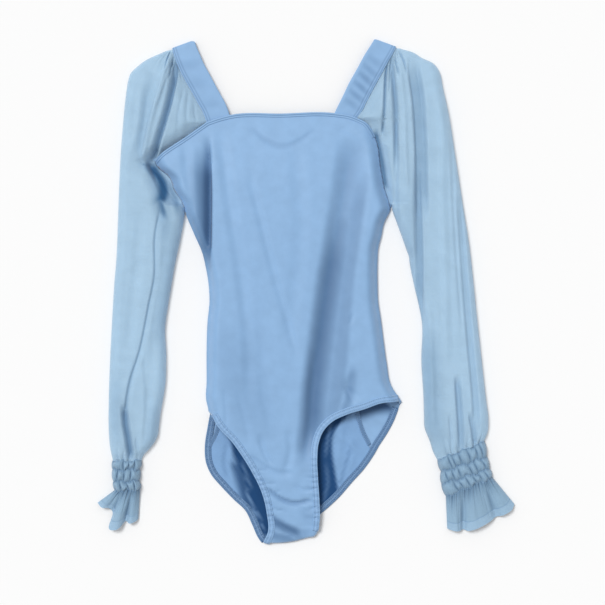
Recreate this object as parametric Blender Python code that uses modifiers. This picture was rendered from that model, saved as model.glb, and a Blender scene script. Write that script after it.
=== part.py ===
"""A light blue leotard with sheer puff sleeves, laid flat on its back.

Run with: blender --background --python part.py

The garment lies on the plane Z = 0 with its neckline towards +Y. X and Y run across and along it, and the
tables below are in millimetres in that plane, listed as rows of named columns. Each piece of cloth is an
open sheet, worked out from its edges, its height over the floor and its folds, and thickened into a wall.
"""
import math

import bpy
import numpy as np
from mathutils import Vector
from mathutils.geometry import delaunay_2d_cdt

MM = 0.001

# Middle of the whole garment's box in the tables' plane, which becomes the origin
MIDDLE = (0.75, 0.2, 0.0)

# Cloth
KNIT_WALL = 1.2
MESH_WALL = 1.0
BAND_WALL = 1.0
SEAM_GAP = 0.3
BAND_GAP = 0.7
BAND_EDGE = 0.55
BINDING_WIDTH = 5.4
HEM_WIDTH = 9.0
SIDE_ROLL = 3.0
SHEET_STEP = 14.0
EDGE_STEP = 12.0
LEG_STEP = 9.0
SEAM_STEP = 16.0
MERGE_DISTANCE = 1.5
BACK_STEP = 30.0
BAND_STEP = 4.0
NEAR_EDGE = 0.1
LATTICE_ROOM = 0.6
DEEP_FOLD = 5.0
ROLL_ROWS = range(-158, 105, 14)
ROLL_SHARES = (0, 0.33, 0.67, 1)

# Side folds of the body: (y, x of the silhouette)
LEFT_FOLD = [(177, -204.5), (169, -200.5), (155, -184.7), (136, -177), (123, -168), (106, -162.8),
             (74, -149.4), (55, -141), (31, -135), (10, -131.6), (-13, -130.3), (-41, -133), (-82, -134.3),
             (-124, -134.3), (-145, -135), (-165, -131.5), (-186, -136.5), (-212, -139.5), (-345, -139.5)]
RIGHT_FOLD = [(209, 94.8), (194, 99), (176, 101), (158, 103.7), (145, 106), (117, 114.1), (111, 115.4),
              (105, 112.7), (94, 107.3), (75, 103), (59, 99), (40, 97.9), (10, 97.9), (-14, 98.8),
              (-37, 102.3), (-66, 106), (-98, 110.4), (-128, 116.8), (-146, 128.6), (-151, 132), (-345, 132)]

# Side seams, which lie on the underside, inboard of the folds: (y, x)
LEFT_SEAM = [(104, -160.5), (88, -148.5), (66, -138.5), (40, -127), (-12, -119), (-80, -121), (-145, -118),
             (-186, -119), (-211, -130)]
RIGHT_SEAM = [(109, 113), (94, 100), (70, 92), (40, 87), (-14, 86), (-66, 80), (-98, 75), (-158, 69),
              (-185, 76), (-209, 86.5)]
LEFT_UNDERARM_Y = 106
RIGHT_UNDERARM_Y = 111

# Front neckline with its slanted armhole ends, from the left corner to the right: (x, y)
NECKLINE = [(-204.5, 176.7), (-193.7, 186.2), (-163.2, 207.2), (-133, 228.8), (-120, 233.5), (-102, 238.3),
            (-32, 240.3), (38.5, 241), (62.8, 236.9), (78.3, 230.2), (89, 219), (94.8, 209.5)]
LEFT_STRAP_SPAN = (-133, -102)
RIGHT_STRAP_SPAN = (38.5, 68.5)

# Front leg edges on the upper side, from the side fold to the crotch: (x, y)
LEFT_LEG = [(-126, -168), (-118, -181.6), (-98.4, -203.2), (-83.3, -224.8), (-70.5, -246.4),
            (-61.8, -263.9), (-55.4, -282.8), (-52, -301.7), (-50.5, -323.3), (-57, -339.5)]
RIGHT_LEG = [(126, -148.5), (101.9, -150.5), (80.3, -158.1), (56.6, -165.4), (37.1, -174.8),
             (24.3, -188.3), (17.8, -205.3), (16.1, -224.8), (16.9, -248.4), (18.9, -280.1),
             (19.6, -304.4), (17.8, -323.3)]
CROTCH = [(-57, -340.3), (-40.2, -340.9), (-18.8, -338.9), (2.8, -333.5), (13.5, -330.1), (17.8, -323.3)]

# Back leg edges: the first rows are on the front's cloth, up to the side seam, the rest on the back: (x, y)
LEFT_LEG_UNDER = [(-129.6, -166), (-133, -185.6), (-136.1, -205), (-136.4, -220.8)]
RIGHT_LEG_UNDER = [(128, -154), (118.9, -177.5), (108.3, -196.4), (100, -209), (93.6, -220.3)]
LEFT_LEG_BACK = [(-136.3, -222), (-135.4, -229.5), (-128.9, -246.4), (-113.4, -265.3), (-96.5, -282.8),
                 (-81.1, -297.7), (-72.6, -315.2), (-64.1, -334.1), (-59.5, -340.6)]
RIGHT_LEG_BACK = [(93.1, -221.1), (80.3, -239.6), (62.8, -259.2), (45.8, -278.8), (33.1, -290.9),
                  (19.6, -302.5)]

# Back panel above the underarms, from the left to the right: (x, y)
BACK_TOP_LEFT = [(-201.6, 124.7), (-210, 142), (-215, 160), (-217, 173)]
BACK_NECKLINE = [(-217, 173), (-205, 180), (-170, 203), (-133, 223.5), (-102, 227), (-32, 228), (38.5, 228),
                 (68.5, 225), (84, 217), (100, 205), (111, 197.8)]
BACK_TOP_RIGHT = [(111, 197.8), (114, 176), (117, 158), (119.3, 143), (119.6, 127.5)]
RIGHT_APEX = (68.5, 234.7)
LEFT_UNDERARM_TURN = [(-153.5, 99), (-156, 107.1), (-162.8, 107.1)]
RIGHT_UNDERARM_TURN = [(103.5, 103), (108.5, 112.1), (115.5, 112.1)]
TURN_ROOM = 12.0

# Height of the front's middle above the floor: (y, height)
FRONT_CROWN = [(242, 9.2), (205, 14), (160, 20), (100, 23), (0, 23), (-90, 22), (-150, 20), (-200, 18),
               (-260, 15), (-310, 11), (-345, 8)]
CROWN_RUN = 42.0
SIDE_FADE = 14.0
CROTCH_ROLL = 6.0
VALLEY_FLOOR = 5.2

# Folds of the front: path (y, x), width of its left and right flank, depth, fade at its ends
FRONT_FOLDS = [
    dict(path=[(205, -136), (150, -135), (90, -134), (45, -132)], left=12, right=5, depth=13, fade=22),
    dict(path=[(212, 56), (124, 41), (67, 30), (10, 21), (-47, 13), (-118, 5), (-146, 3), (-178, 7),
               (-216, 1)], left=10, right=30, depth=9, fade=30),
    dict(path=[(200, -112), (110, -98), (20, -86), (-70, -77), (-140, -74)], left=14, right=14, depth=3,
         fade=40),
    dict(path=[(150, -70), (80, -52), (0, -34), (-80, -13)], left=12, right=10, depth=2.2, fade=40),
    dict(path=[(206, 84), (150, 82), (60, 78), (-30, 66)], left=12, right=12, depth=2.2, fade=35),
    dict(path=[(-122, 64), (-136, 58)], left=11, right=11, depth=4, fade=12),
    dict(path=[(-215, -40), (-240, -62)], left=10, right=14, depth=2.5, fade=14),
]
# Wrinkles that cross the crotch: y at its middle, half width along y, depth, sag of its ends
CROTCH_WRINKLES = [(-247, 7, 2.4, 5), (-274, 6, 2.2, 8), (-306, 6, 2.2, 10)]
CROTCH_MIDDLE = -18.0
CROTCH_REACH = 40.0

# Rows of the sleeves from the strap top to the cuff:
# (outer y, inner y, top height, height at the open inner edge)
LEFT_ROWS = [(326, 327.5, 5, 5), (319, 320, 8, 6), (309, 309, 12, 6.5), (297, 297, 15, 7),
             (285, 284, 17, 7), (270, 270, 18, 7.5), (255, 255, 19, 8), (241, 241, 20, 8),
             (229.3, 228.8, 20, 8), (218, 218, 20, 8), (206, 206, 20, 7.5), (194, 194, 20, 7),
             (184, 186, 19, 6), (173, 176.7, 18, 4), (158, 160, 17, 3), (141, 142, 17, 3), (124, 124, 17, 3),
             (106, 106, 17, 2), (88, 88, 17, 2), (66, 66, 17, 2), (42, 42, 17, 2), (14, 14, 17, 2),
             (-17, -17, 17, 2), (-48, -48, 17, 2), (-82, -82, 17, 2), (-115, -115, 17, 2),
             (-146, -146, 17, 2), (-172, -172, 17, 2), (-193, -193, 16, 2), (-208, -208, 15, 2),
             (-219, -219, 14, 2), (-227.7, -227.7, 12, 2)]
LEFT_OUTER = [(329, -181.6), (323.3, -195.1), (313.9, -215.3), (304.4, -228), (296.3, -236.3),
              (285.5, -240.3), (273.4, -242.3), (222, -247.7), (160, -251.8), (109, -253.8), (42.5, -256.5),
              (14, -258.9), (-48, -262.6), (-103, -265.3), (-146.5, -266.6), (-188, -266.6),
              (-213, -264.5), (-228, -261.2)]
LEFT_INNER = [(105, -163.4), (90, -165.9), (68, -170.1), (40, -176.2), (17, -180.2), (-15.5, -185.6),
              (-48, -190.1), (-88, -188.7), (-128, -190.1), (-146.5, -193), (-160, -195.6), (-181, -198.3),
              (-196, -200.5), (-203, -203.8), (-214, -212.1), (-222, -219.5), (-228, -222)]
RIGHT_ROWS = [(329.5, 329.5, 5, 5), (325, 321, 8, 6), (313, 310, 12, 6.5), (300, 298, 15, 7),
              (286, 285, 17, 7), (271, 270, 18, 7.5), (256, 256, 19, 8), (244, 244, 20, 8),
              (234.7, 234.7, 20, 8), (225, 225, 20, 8), (217, 217, 20, 7.5), (209.5, 209.5, 20, 5),
              (192, 192, 20, 4), (176, 176, 19, 3), (158, 158, 19, 3), (143, 143, 18, 3), (127, 127, 18, 3),
              (111, 111, 18, 2), (90, 90, 18, 2), (68, 68, 18, 2), (44, 44, 18, 2), (14, 14, 18, 2),
              (-16, -16, 18, 2), (-47, -47, 18, 2), (-82, -82, 18, 2), (-115, -115, 18, 2),
              (-143, -146, 18, 2), (-164, -172, 18, 2), (-178, -192, 17, 2), (-189, -207, 15, 2),
              (-196, -218, 14, 2), (-201.5, -226, 12, 2)]
RIGHT_OUTER = [(331.5, 123.5), (328.7, 130.3), (325.5, 141.9), (316, 158.6), (309.8, 172.1),
               (303, 178.9), (296, 182.4), (280, 185.6), (250, 192.4), (184, 203.2), (114, 214),
               (69.5, 221.1), (14, 227.5), (-38.5, 232.9), (-88, 238.3), (-146.5, 244.8), (-173.5, 248),
               (-192, 246.6), (-202, 242.3)]
RIGHT_INNER = [(112, 116.8), (69.5, 132.3), (56, 137), (47.9, 140), (39.8, 141), (7.4, 147.4),
               (-23.6, 154.6), (-38.5, 157.3), (-95, 157), (-146.5, 160), (-167, 160.5), (-184, 161.3),
               (-202, 168.1), (-221, 174.8), (-227, 178.4)]
LEFT_OPEN_ROWS = 17
RIGHT_OPEN_ROWS = 17
SLEEVE_TOP_COLUMNS = 17
SLEEVE_UNDER_COLUMNS = 5
SLEEVE_ROUND = 14.4
OPEN_RISE = 30.0
FOLD_ROOM = 55.0
UNDER_SPREAD = 1.3
UNDER_ROUND = 4.0
EDGE_HEIGHT = 2.0

# Folds of the sleeves, as for the front: a negative depth is a ridge
LEFT_SLEEVE_FOLDS = [
    dict(path=[(305, -176), (270, -183), (220, -194), (185, -205)], left=10, right=12, depth=7, fade=25),
    dict(path=[(300, -186), (222, -210), (182, -216)], left=9, right=8, depth=-3, fade=20),
    dict(path=[(290, -208), (240, -215), (190, -220)], left=9, right=9, depth=5, fade=30),
    dict(path=[(172, -214), (140, -203), (105, -192)], left=9, right=14, depth=8, fade=12),
    dict(path=[(60, -201), (0, -207), (-60, -222), (-130, -236)], left=4, right=10, depth=3, fade=30),
    dict(path=[(-155, -242), (-190, -240), (-228, -238)], left=8, right=7, depth=7, fade=14),
]
RIGHT_SLEEVE_FOLDS = [
    dict(path=[(300, 110), (240, 106), (215, 103)], left=6, right=4, depth=5, fade=12),
    dict(path=[(305, 122), (250, 118), (200, 117), (130, 119)], left=4, right=7, depth=7, fade=20),
    dict(path=[(280, 150), (200, 152), (110, 155), (10, 153), (-30, 154)], left=14, right=5, depth=6,
         fade=25),
    dict(path=[(250, 176), (120, 186), (10, 193), (-60, 197)], left=14, right=12, depth=-2.5, fade=40),
    dict(path=[(240, 196), (110, 204), (0, 213), (-90, 222), (-150, 227)], left=10, right=8, depth=4,
         fade=40),
    dict(path=[(-140, 205), (-180, 208), (-214, 210)], left=8, right=7, depth=6, fade=14),
    dict(path=[(-140, 225), (-175, 228), (-206, 228)], left=6, right=6, depth=5, fade=12),
]

# Straps: inner and outer edge (y of the row's outer end, x outer, y inner, x inner), from the fold down
LEFT_STRAP = [(328.5, -180.4, 339.5, -150.6), (320, -178, 330, -147), (309, -174.2, 319, -142.3),
              (297, -169, 308, -137.5), (284, -162, 296, -131), (270, -154, 282, -123.5),
              (255, -145.8, 267, -115.4), (241, -138.2, 252, -107.3)]
RIGHT_STRAP = [(330.5, 122.7, 341.3, 93.4), (321, 117.7, 331, 87), (310, 111.5, 319, 79.4),
               (298, 105, 307, 73), (285, 97.8, 294, 65.8), (270, 89.8, 280, 58),
               (256, 82.5, 266, 51.5), (244, 76.5, 254, 45.5)]
STRAP_COLUMNS = 4
STRAP_FOLD_RADIUS = 3.0
STRAP_FOLD_STEPS = 6
STRAP_HEIGHT = 7.5
STRAP_DIP = 0.5

# Shirred cuffs, a row for each elastic: (x left, y left, x right, y right, thickness)
LEFT_ELASTICS = [(-261, -228.3, -222.2, -228.3, 12), (-261.5, -241, -224.5, -240, 12),
                 (-260.5, -257, -225, -256, 12), (-258.5, -269, -224, -268, 12)]
RIGHT_ELASTICS = [(178.8, -226.9, 242.6, -202.4, 12), (183.5, -243.7, 245.5, -222.8, 12.5),
                  (184, -260, 249.5, -239.6, 12.5), (190, -277, 253, -251, 12.5)]
PUFF_HEIGHT = 2.6
PUFF_SWELL = 1.56
CUFF_WALL = 1.2
CUFF_ROUND = 0.8
PUFF_STEPS = 3
CUFF_TOP_COLUMNS = 24
CUFF_UNDER_COLUMNS = 10
LEFT_GATHERS = 5
RIGHT_GATHERS = 8
GATHER_DEPTH = 1.5
RUFFLE_STEPS = 4
RUFFLE_SAG = 4.0
RUFFLE_SWEEP = 1.6
RUFFLE_EDGE_WALL = 1.6
# Ruffle hem on the upper side, from its left to its right end: (share of the way, x, y, height)
LEFT_RUFFLE = [(0, -281.5, -286, 4), (0.12, -275, -292, 9), (0.24, -264, -294, 6), (0.3, -261, -300, 3.4),
               (0.38, -266, -318, 7), (0.5, -257, -322, 11), (0.62, -249, -317, 8), (0.69, -244, -311, 3.6),
               (0.8, -238, -313.5, 9), (0.92, -230, -311, 7), (1, -226.5, -308, 3)]
RIGHT_RUFFLE = [(0, 192, -321, 3.5), (0.12, 199, -323, 9), (0.28, 209, -323.5, 8), (0.34, 213, -322, 3.6),
                (0.44, 220, -323.5, 8), (0.6, 236, -318, 12), (0.74, 252, -309, 8), (0.8, 258, -305, 3.6),
                (0.88, 268, -302, 9), (0.95, 279, -295, 8), (1, 283, -288, 4)]


def smooth(table, at):
    """Reads a smooth curve through the table's (input, output) rows."""
    keys, values = np.array(sorted(table), dtype=float).T
    slopes = np.gradient(values, keys)
    at = np.clip(at, keys[0], keys[-1])
    row = np.clip(np.searchsorted(keys, at, side="right") - 1, 0, len(keys) - 2)
    span = keys[row + 1] - keys[row]
    t = (at - keys[row]) / span
    start = values[row] * (1 + 2 * t) * (1 - t) ** 2 + slopes[row] * span * t * (1 - t) ** 2
    end = values[row + 1] * t * t * (3 - 2 * t) + slopes[row + 1] * span * t * t * (t - 1)
    return start + end


def fade_in(value, width):
    """Rises smoothly from 0 to 1 while the value goes from 0 to the width."""
    t = np.clip(value / width, 0.0, 1.0)
    return t * t * (3 - 2 * t)


def quarter_round(distance, radius):
    """Rises like a quarter circle from 0 at the edge to 1 at the radius."""
    return np.sqrt(1 - (1 - np.clip(distance / radius, 0.0, 1.0)) ** 2)


def resample(path, step):
    """Places points about a step apart on a smooth curve through the path's points."""
    path = np.array(path, dtype=float)
    run = np.concatenate([[0], np.cumsum(np.linalg.norm(np.diff(path, axis=0), axis=1))])
    count = max(2, int(round(run[-1] / step)) + 1)
    at = np.linspace(0, run[-1], count)
    return np.column_stack([smooth(list(zip(run, path[:, axis])), at) for axis in range(path.shape[1])])


def fold_depth(fold, x, y):
    """Depth of one fold at a place: its path bends with y, and its two flanks have their own widths."""
    top, bottom = fold["path"][0][0], fold["path"][-1][0]
    off = x - smooth(fold["path"], y)
    share = np.clip(np.where(off < 0, -off / fold["left"], off / fold["right"]), 0, 1)
    fade = fold["fade"]
    ends = fade_in(top + fade / 2 - y, fade) * fade_in(y - bottom + fade / 2, fade)
    return fold["depth"] * (0.5 + 0.5 * np.cos(math.pi * share)) * ends


def front_height(x, y):
    """Height of the front's outer face above the floor."""
    inward = np.minimum(x - smooth(LEFT_FOLD, y), smooth(RIGHT_FOLD, y) - x)
    crown = smooth(FRONT_CROWN, y)
    low = 2 * SIDE_ROLL
    height = low + (crown - low) * np.sin(math.pi / 2 * np.clip((inward - SIDE_ROLL) / CROWN_RUN, 0, 1))
    room = fade_in(inward - SIDE_ROLL, SIDE_FADE)
    for fold in FRONT_FOLDS:
        height = height - fold_depth(fold, x, y) * room
    for middle, half, depth, sag in CROTCH_WRINKLES:
        across = (x - CROTCH_MIDDLE) / CROTCH_REACH
        share = np.clip(np.abs(y - middle - sag * across ** 2) / half, 0, 1)
        height = height - depth * (0.5 + 0.5 * np.cos(math.pi * share)) * np.clip(1 - across ** 2, 0, 1)
    height = np.maximum(height, VALLEY_FLOOR)
    lowest = 2 * KNIT_WALL + 2 * SEAM_GAP
    above = y - smooth(CROTCH, np.clip(x, CROTCH[0][0], CROTCH[-1][0]))
    edge = quarter_round(above, CROTCH_ROLL)
    return np.where(above < CROTCH_ROLL, lowest + (height - lowest) * edge, height)


def front_point(across, y):
    """Places points of the front's cloth: over the top, round the side folds, or underneath them."""
    right = smooth(RIGHT_FOLD, y) - SIDE_ROLL
    left = smooth(LEFT_FOLD, y) + SIDE_ROLL
    half_turn = math.pi * SIDE_ROLL
    side = np.where(across > right, 1.0, np.where(across < left, -1.0, 0.0))
    past = np.where(side > 0, across - right, np.where(side < 0, left - across, 0.0))
    angle = np.clip(past / SIDE_ROLL, 0, math.pi)
    under = np.maximum(past - half_turn, 0)
    start = np.where(side > 0, right, left)
    x = np.where(side == 0, across, start + side * (SIDE_ROLL * np.sin(angle) - under))
    z = np.where(side == 0, front_height(across, y), SIDE_ROLL + SIDE_ROLL * np.cos(angle))
    return np.stack([x, y, z], axis=-1)


def under_right(x, y):
    """Position across the front's cloth of a point on its underside, right of the middle."""
    return 2 * (smooth(RIGHT_FOLD, y) - SIDE_ROLL) + math.pi * SIDE_ROLL - x


def under_left(x, y):
    """Position across the front's cloth of a point on its underside, left of the middle."""
    return 2 * (smooth(LEFT_FOLD, y) + SIDE_ROLL) - math.pi * SIDE_ROLL - x


def seam_points(side, layer, low, high):
    """Points of a front or back armhole edge, at the same heights as the sleeve that is sewn to it."""
    rows, count = (LEFT_ROWS, LEFT_OPEN_ROWS) if side == "left" else (RIGHT_ROWS, RIGHT_OPEN_ROWS)
    edge = sleeve_inner_edge if layer == "front" else sleeve_under_edge
    return [(edge(side, row[1]), row[1]) for row in rows[:count] if low <= row[1] <= high]


def front_neck():
    """The front's neckline from right to left: slanted ends at the sleeves, nearly straight between."""
    left = seam_points("left", "front", NECKLINE[0][1], NECKLINE[3][1])
    right = seam_points("right", "front", NECKLINE[-1][1], RIGHT_APEX[1])
    middle = resample([point for point in NECKLINE if left[0][0] <= point[0] < right[0][0]]
                      + [RIGHT_APEX], EDGE_STEP)
    return np.vstack([right[::-1], middle[::-1][1:-1], left])


def front_edges():
    """The front's outline in its own cloth, as named runs of (across, y) points, anticlockwise."""
    quarter = SIDE_ROLL * (math.pi / 2 - 1)
    left_side = seam_points("left", "front", LEFT_UNDERARM_Y, NECKLINE[0][1] - 1)
    right_side = seam_points("right", "front", RIGHT_UNDERARM_Y, NECKLINE[-1][1] - 1)
    left_side.append((float(smooth(LEFT_FOLD, LEFT_UNDERARM_Y)), LEFT_UNDERARM_Y))
    right_side.append((float(smooth(RIGHT_FOLD, RIGHT_UNDERARM_Y)), RIGHT_UNDERARM_Y))
    left_seam = [(under_left(x, y), y) for x, y in resample([(x, y) for y, x in LEFT_SEAM], SEAM_STEP)]
    right_seam = [(under_right(x, y), y) for x, y in resample([(x, y) for y, x in RIGHT_SEAM], SEAM_STEP)]
    left_under = [(under_left(x, y), y) for x, y in LEFT_LEG_UNDER]
    right_under = [(under_right(x, y), y) for x, y in RIGHT_LEG_UNDER]
    return dict(neck=front_neck(),
                left_armhole=np.array([(x - quarter, y) for x, y in left_side]),
                left_seam=np.array(left_seam), left_under=np.array(left_under[::-1]),
                left_leg=resample(LEFT_LEG, LEG_STEP), crotch=resample(CROTCH, EDGE_STEP),
                right_leg=resample(RIGHT_LEG, LEG_STEP)[::-1], right_under=np.array(right_under),
                right_seam=np.array(right_seam[::-1]),
                right_armhole=np.array([(x + quarter, y) for x, y in right_side[::-1]]))


def join_runs(runs):
    """Joins runs of points into one closed outline, without points that fall together."""
    outline = []
    for run in runs:
        for point in run:
            if not outline or np.linalg.norm(np.array(point) - outline[-1]) > MERGE_DISTANCE:
                outline.append(np.array(point, dtype=float))
    if np.linalg.norm(outline[0] - outline[-1]) < MERGE_DISTANCE:
        outline.pop()
    return np.array(outline)


def inside(points, outline):
    """Says which points lie inside a closed outline, by counting the edges that a ray crosses."""
    crossed = np.zeros(len(points), dtype=bool)
    for (x0, y0), (x1, y1) in zip(outline, np.roll(outline, -1, axis=0)):
        if y0 == y1:
            continue
        spans = (points[:, 1] > min(y0, y1)) & (points[:, 1] <= max(y0, y1))
        crossed ^= spans & (points[:, 0] < x0 + (points[:, 1] - y0) / (y1 - y0) * (x1 - x0))
    return crossed


def clear_of(points, others, room):
    """Keeps the points that are at least the room away from the others."""
    keep = [np.min(np.linalg.norm(others - point, axis=1)) >= room for point in points]
    return points[np.array(keep, dtype=bool)]


def lattice(outline, step):
    """Points in staggered rows that cover an outline's box."""
    low, high = outline.min(axis=0), outline.max(axis=0)
    rows = np.arange(low[1], high[1], step * math.sqrt(3) / 2)
    points = [(x + (step / 2 if index % 2 else 0), y)
              for index, y in enumerate(rows) for x in np.arange(low[0], high[0], step)]
    return np.array(points)


def inset(run, width):
    """Moves a run of edge points to the left of its direction by the width."""
    run = np.array(run, dtype=float)
    along = np.gradient(run, axis=0)
    along /= np.linalg.norm(along, axis=1)[:, None]
    return run + width * np.column_stack([-along[:, 1], along[:, 0]])


def fill(outline, chains, step):
    """Fills an outline with triangles whose edges follow the chains, over a lattice of points."""
    dense = resample(np.vstack([outline, outline[:1]]), step / 2)
    points, count = [outline], len(outline)
    edges = [(index, (index + 1) % count) for index in range(count)]
    for chain in chains:
        chain = np.array(chain, dtype=float)
        near = np.array([np.min(np.linalg.norm(dense - point, axis=1)) < step * NEAR_EDGE for point in chain])
        keep = inside(chain, outline) & ~near
        numbers = np.where(keep, np.cumsum(keep) - 1 + count, -1)
        edges += [(int(one), int(two)) for one, two in zip(numbers, numbers[1:]) if one >= 0 and two >= 0]
        points.append(chain[keep])
        count += int(keep.sum())
    taken = np.vstack([dense] + points[1:])
    grid = lattice(outline, step)
    grid = clear_of(grid[inside(grid, outline)], taken, step * LATTICE_ROOM)
    flat = np.vstack(points + [grid])
    made = delaunay_2d_cdt([Vector(point) for point in flat], edges, [], 1, 1e-3)
    return np.array([tuple(point) for point in made[0]]), [tuple(face) for face in made[2]]


def make_object(name, points, faces, material, wall=None):
    """Makes a named mesh from points in millimetres, thickened inward where a wall is given."""
    mesh = bpy.data.meshes.new(name)
    mesh.from_pydata([tuple(point) for point in (np.asarray(points) - MIDDLE) * MM], [], faces)
    mesh.validate()
    mesh.materials.append(material)
    piece = bpy.data.objects.new(name, mesh)
    bpy.data.collections["leotard"].objects.link(piece)
    if wall:
        thick = piece.modifiers.new("wall", "SOLIDIFY")
        thick.thickness = wall * MM
        thick.offset = -1
        thick.use_quality_normals = True
    return piece


def make_material(name, colour, roughness):
    """Makes a plain cloth finish."""
    material = bpy.data.materials.new(name)
    material.use_nodes = True
    shader = material.node_tree.nodes["Principled BSDF"]
    shader.inputs["Base Color"].default_value = (*colour, 1)
    shader.inputs["Roughness"].default_value = roughness
    return material


def roll_chains():
    """Lines along the side folds of the front, in its own cloth, so that the folds come out round."""
    chains = []
    for share in ROLL_SHARES:
        turn = share * math.pi * SIDE_ROLL
        chains.append([(smooth(RIGHT_FOLD, y) - SIDE_ROLL + turn, y) for y in ROLL_ROWS])
        chains.append([(smooth(LEFT_FOLD, y) + SIDE_ROLL - turn, y) for y in ROLL_ROWS])
    return chains


def fold_chains(folds, step):
    """Lines along the bottom and both brinks of the deeper folds."""
    chains = []
    for fold in folds:
        if abs(fold["depth"]) < DEEP_FOLD:
            continue
        rows = np.arange(fold["path"][-1][0], fold["path"][0][0], step)
        for aside in (-fold["left"], 0, fold["right"]):
            chains.append([(smooth(fold["path"], y) + aside, y) for y in rows])
    return chains


def make_front(material):
    """The front: over the top, round both sides to the side seams, and down to the crotch."""
    edges = front_edges()
    outline = join_runs(edges.values())
    chains = [inset(edges["neck"], BINDING_WIDTH), inset(edges["left_leg"], HEM_WIDTH),
              inset(edges["right_leg"], HEM_WIDTH), inset(edges["crotch"], CROTCH_ROLL / 4),
              inset(edges["crotch"], CROTCH_ROLL / 2)]
    banded = np.vstack([resample(edges[name], BAND_STEP) for name in ("neck", "left_leg", "right_leg")])
    creases = [clear_of(np.array(chain, dtype=float), banded, HEM_WIDTH + BAND_STEP)
               for chain in fold_chains(FRONT_FOLDS, SHEET_STEP)]
    flat, faces = fill(outline, chains + roll_chains() + creases, SHEET_STEP)
    return make_object("front_panel", front_point(flat[:, 0], flat[:, 1]), faces, material, KNIT_WALL)


def back_edges():
    """The back's outline on the floor, as named runs of (x, y) points, anticlockwise."""
    left_seam = [(x + SEAM_GAP, y) for x, y in resample([(x, y) for y, x in LEFT_SEAM], SEAM_STEP)
                 if y < LEFT_UNDERARM_TURN[0][1] - TURN_ROOM]
    right_seam = [(x - SEAM_GAP, y) for x, y in resample([(x, y) for y, x in RIGHT_SEAM], SEAM_STEP)
                  if y < RIGHT_UNDERARM_TURN[0][1] - TURN_ROOM]
    left = seam_points("left", "back", BACK_NECKLINE[0][1], BACK_NECKLINE[3][1] - 1)
    right = seam_points("right", "back", BACK_NECKLINE[-1][1], BACK_NECKLINE[7][1] - 1)
    neck = np.vstack([right[::-1], resample(BACK_NECKLINE[3:8], EDGE_STEP)[::-1], left])
    left_side = seam_points("left", "back", BACK_TOP_LEFT[0][1] - 2, BACK_NECKLINE[0][1] - 1)
    right_side = seam_points("right", "back", BACK_TOP_RIGHT[-1][1] - 2, BACK_NECKLINE[-1][1] - 1)
    return dict(neck=neck, left_side=np.array(left_side + LEFT_UNDERARM_TURN[::-1]),
                left_seam=np.array(left_seam), left_leg=resample(LEFT_LEG_BACK, EDGE_STEP),
                crotch=resample(CROTCH, EDGE_STEP), right_leg=resample(RIGHT_LEG_BACK[::-1], EDGE_STEP),
                right_seam=np.array(right_seam[::-1]),
                right_side=np.array(RIGHT_UNDERARM_TURN + right_side[::-1]))


def make_back(material):
    """The back: a flat sheet on the floor, between the side seams and up to its own neckline."""
    outline = join_runs(back_edges().values())
    flat, faces = fill(outline, [], BACK_STEP)
    points = np.column_stack([flat, np.full(len(flat), KNIT_WALL)])
    return make_object("back_panel", points, faces, material, KNIT_WALL)


def strip_faces(rows, columns, closed_columns):
    """Quads between rows of points, with the columns closed into a ring or left open."""
    last = columns if closed_columns else columns - 1
    return [(row * columns + column, row * columns + (column + 1) % columns,
             (row + 1) * columns + (column + 1) % columns, (row + 1) * columns + column)
            for row in range(rows - 1) for column in range(last)]


def make_band(name, place, run, width, material, ends=(1, 1)):
    """A closed band on a panel, made from the panel's own points along an edge, moved out."""
    lines = [place(inset(run, share * width))[ends[0]:len(run) - ends[1]] for share in (0.0, 0.5, 1.0)]
    away = band_normals(lines)
    middle = (lines[0] + lines[2]) / 2
    over_middle = np.maximum(lines[1], middle)
    edge, crown = BAND_GAP + BAND_WALL * BAND_EDGE, BAND_GAP + BAND_WALL
    lower = [lines[0] + away * BAND_GAP, lines[2] + away * BAND_GAP]
    upper = [lines[2] + away * edge, over_middle + away * crown, lines[0] + away * edge]
    ring = lower + upper
    columns, rows = len(ring), len(lines[0])
    points = np.stack(ring, axis=1).reshape(-1, 3)
    faces = strip_faces(rows, columns, True)
    faces.append(tuple(range(columns))[::-1])
    faces.append(tuple((rows - 1) * columns + column for column in range(columns)))
    return make_object(name, points, faces, material)


def band_normals(lines):
    """Directions out of the panel at the stations of a band."""
    across = lines[-1] - lines[0]
    along = np.gradient(lines[1], axis=0)
    away = np.cross(along, across)
    return away / np.linalg.norm(away, axis=1)[:, None]


def sleeve_inner_edge(side, y):
    """X of the edge that a sleeve is sewn to on the upper side: strap, slanted binding, then the front."""
    strap, fold = (LEFT_STRAP, LEFT_FOLD) if side == "left" else (RIGHT_STRAP, RIGHT_FOLD)
    corner = NECKLINE[0] if side == "left" else NECKLINE[-1]
    apex = NECKLINE[3] if side == "left" else RIGHT_APEX
    if y > apex[1]:
        base = (apex[1], apex[0])
        return float(smooth([(row[0], row[1]) for row in strap] + [base], y))
    if y > corner[1]:
        part = NECKLINE[:4] if side == "left" else [apex] + NECKLINE[9:]
        return float(smooth([(row[1], row[0]) for row in part], y))
    return float(smooth(fold, y))


def sleeve_under_edge(side, y):
    """X of the edge that a sleeve is sewn to on the underside: strap, back binding, then the back's side."""
    strap, neck, top = ((LEFT_STRAP, BACK_NECKLINE[:4], BACK_TOP_LEFT) if side == "left"
                        else (RIGHT_STRAP, BACK_NECKLINE[7:], BACK_TOP_RIGHT))
    apex = neck[3] if side == "left" else neck[0]
    corner = neck[0] if side == "left" else neck[-1]
    if y > apex[1]:
        return float(smooth([(row[0], row[1]) for row in strap] + [(apex[1], apex[0])], y))
    if y > corner[1]:
        return float(smooth([(row[1], row[0]) for row in neck], y))
    return float(smooth([(row[1], row[0]) for row in top], y))


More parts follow.
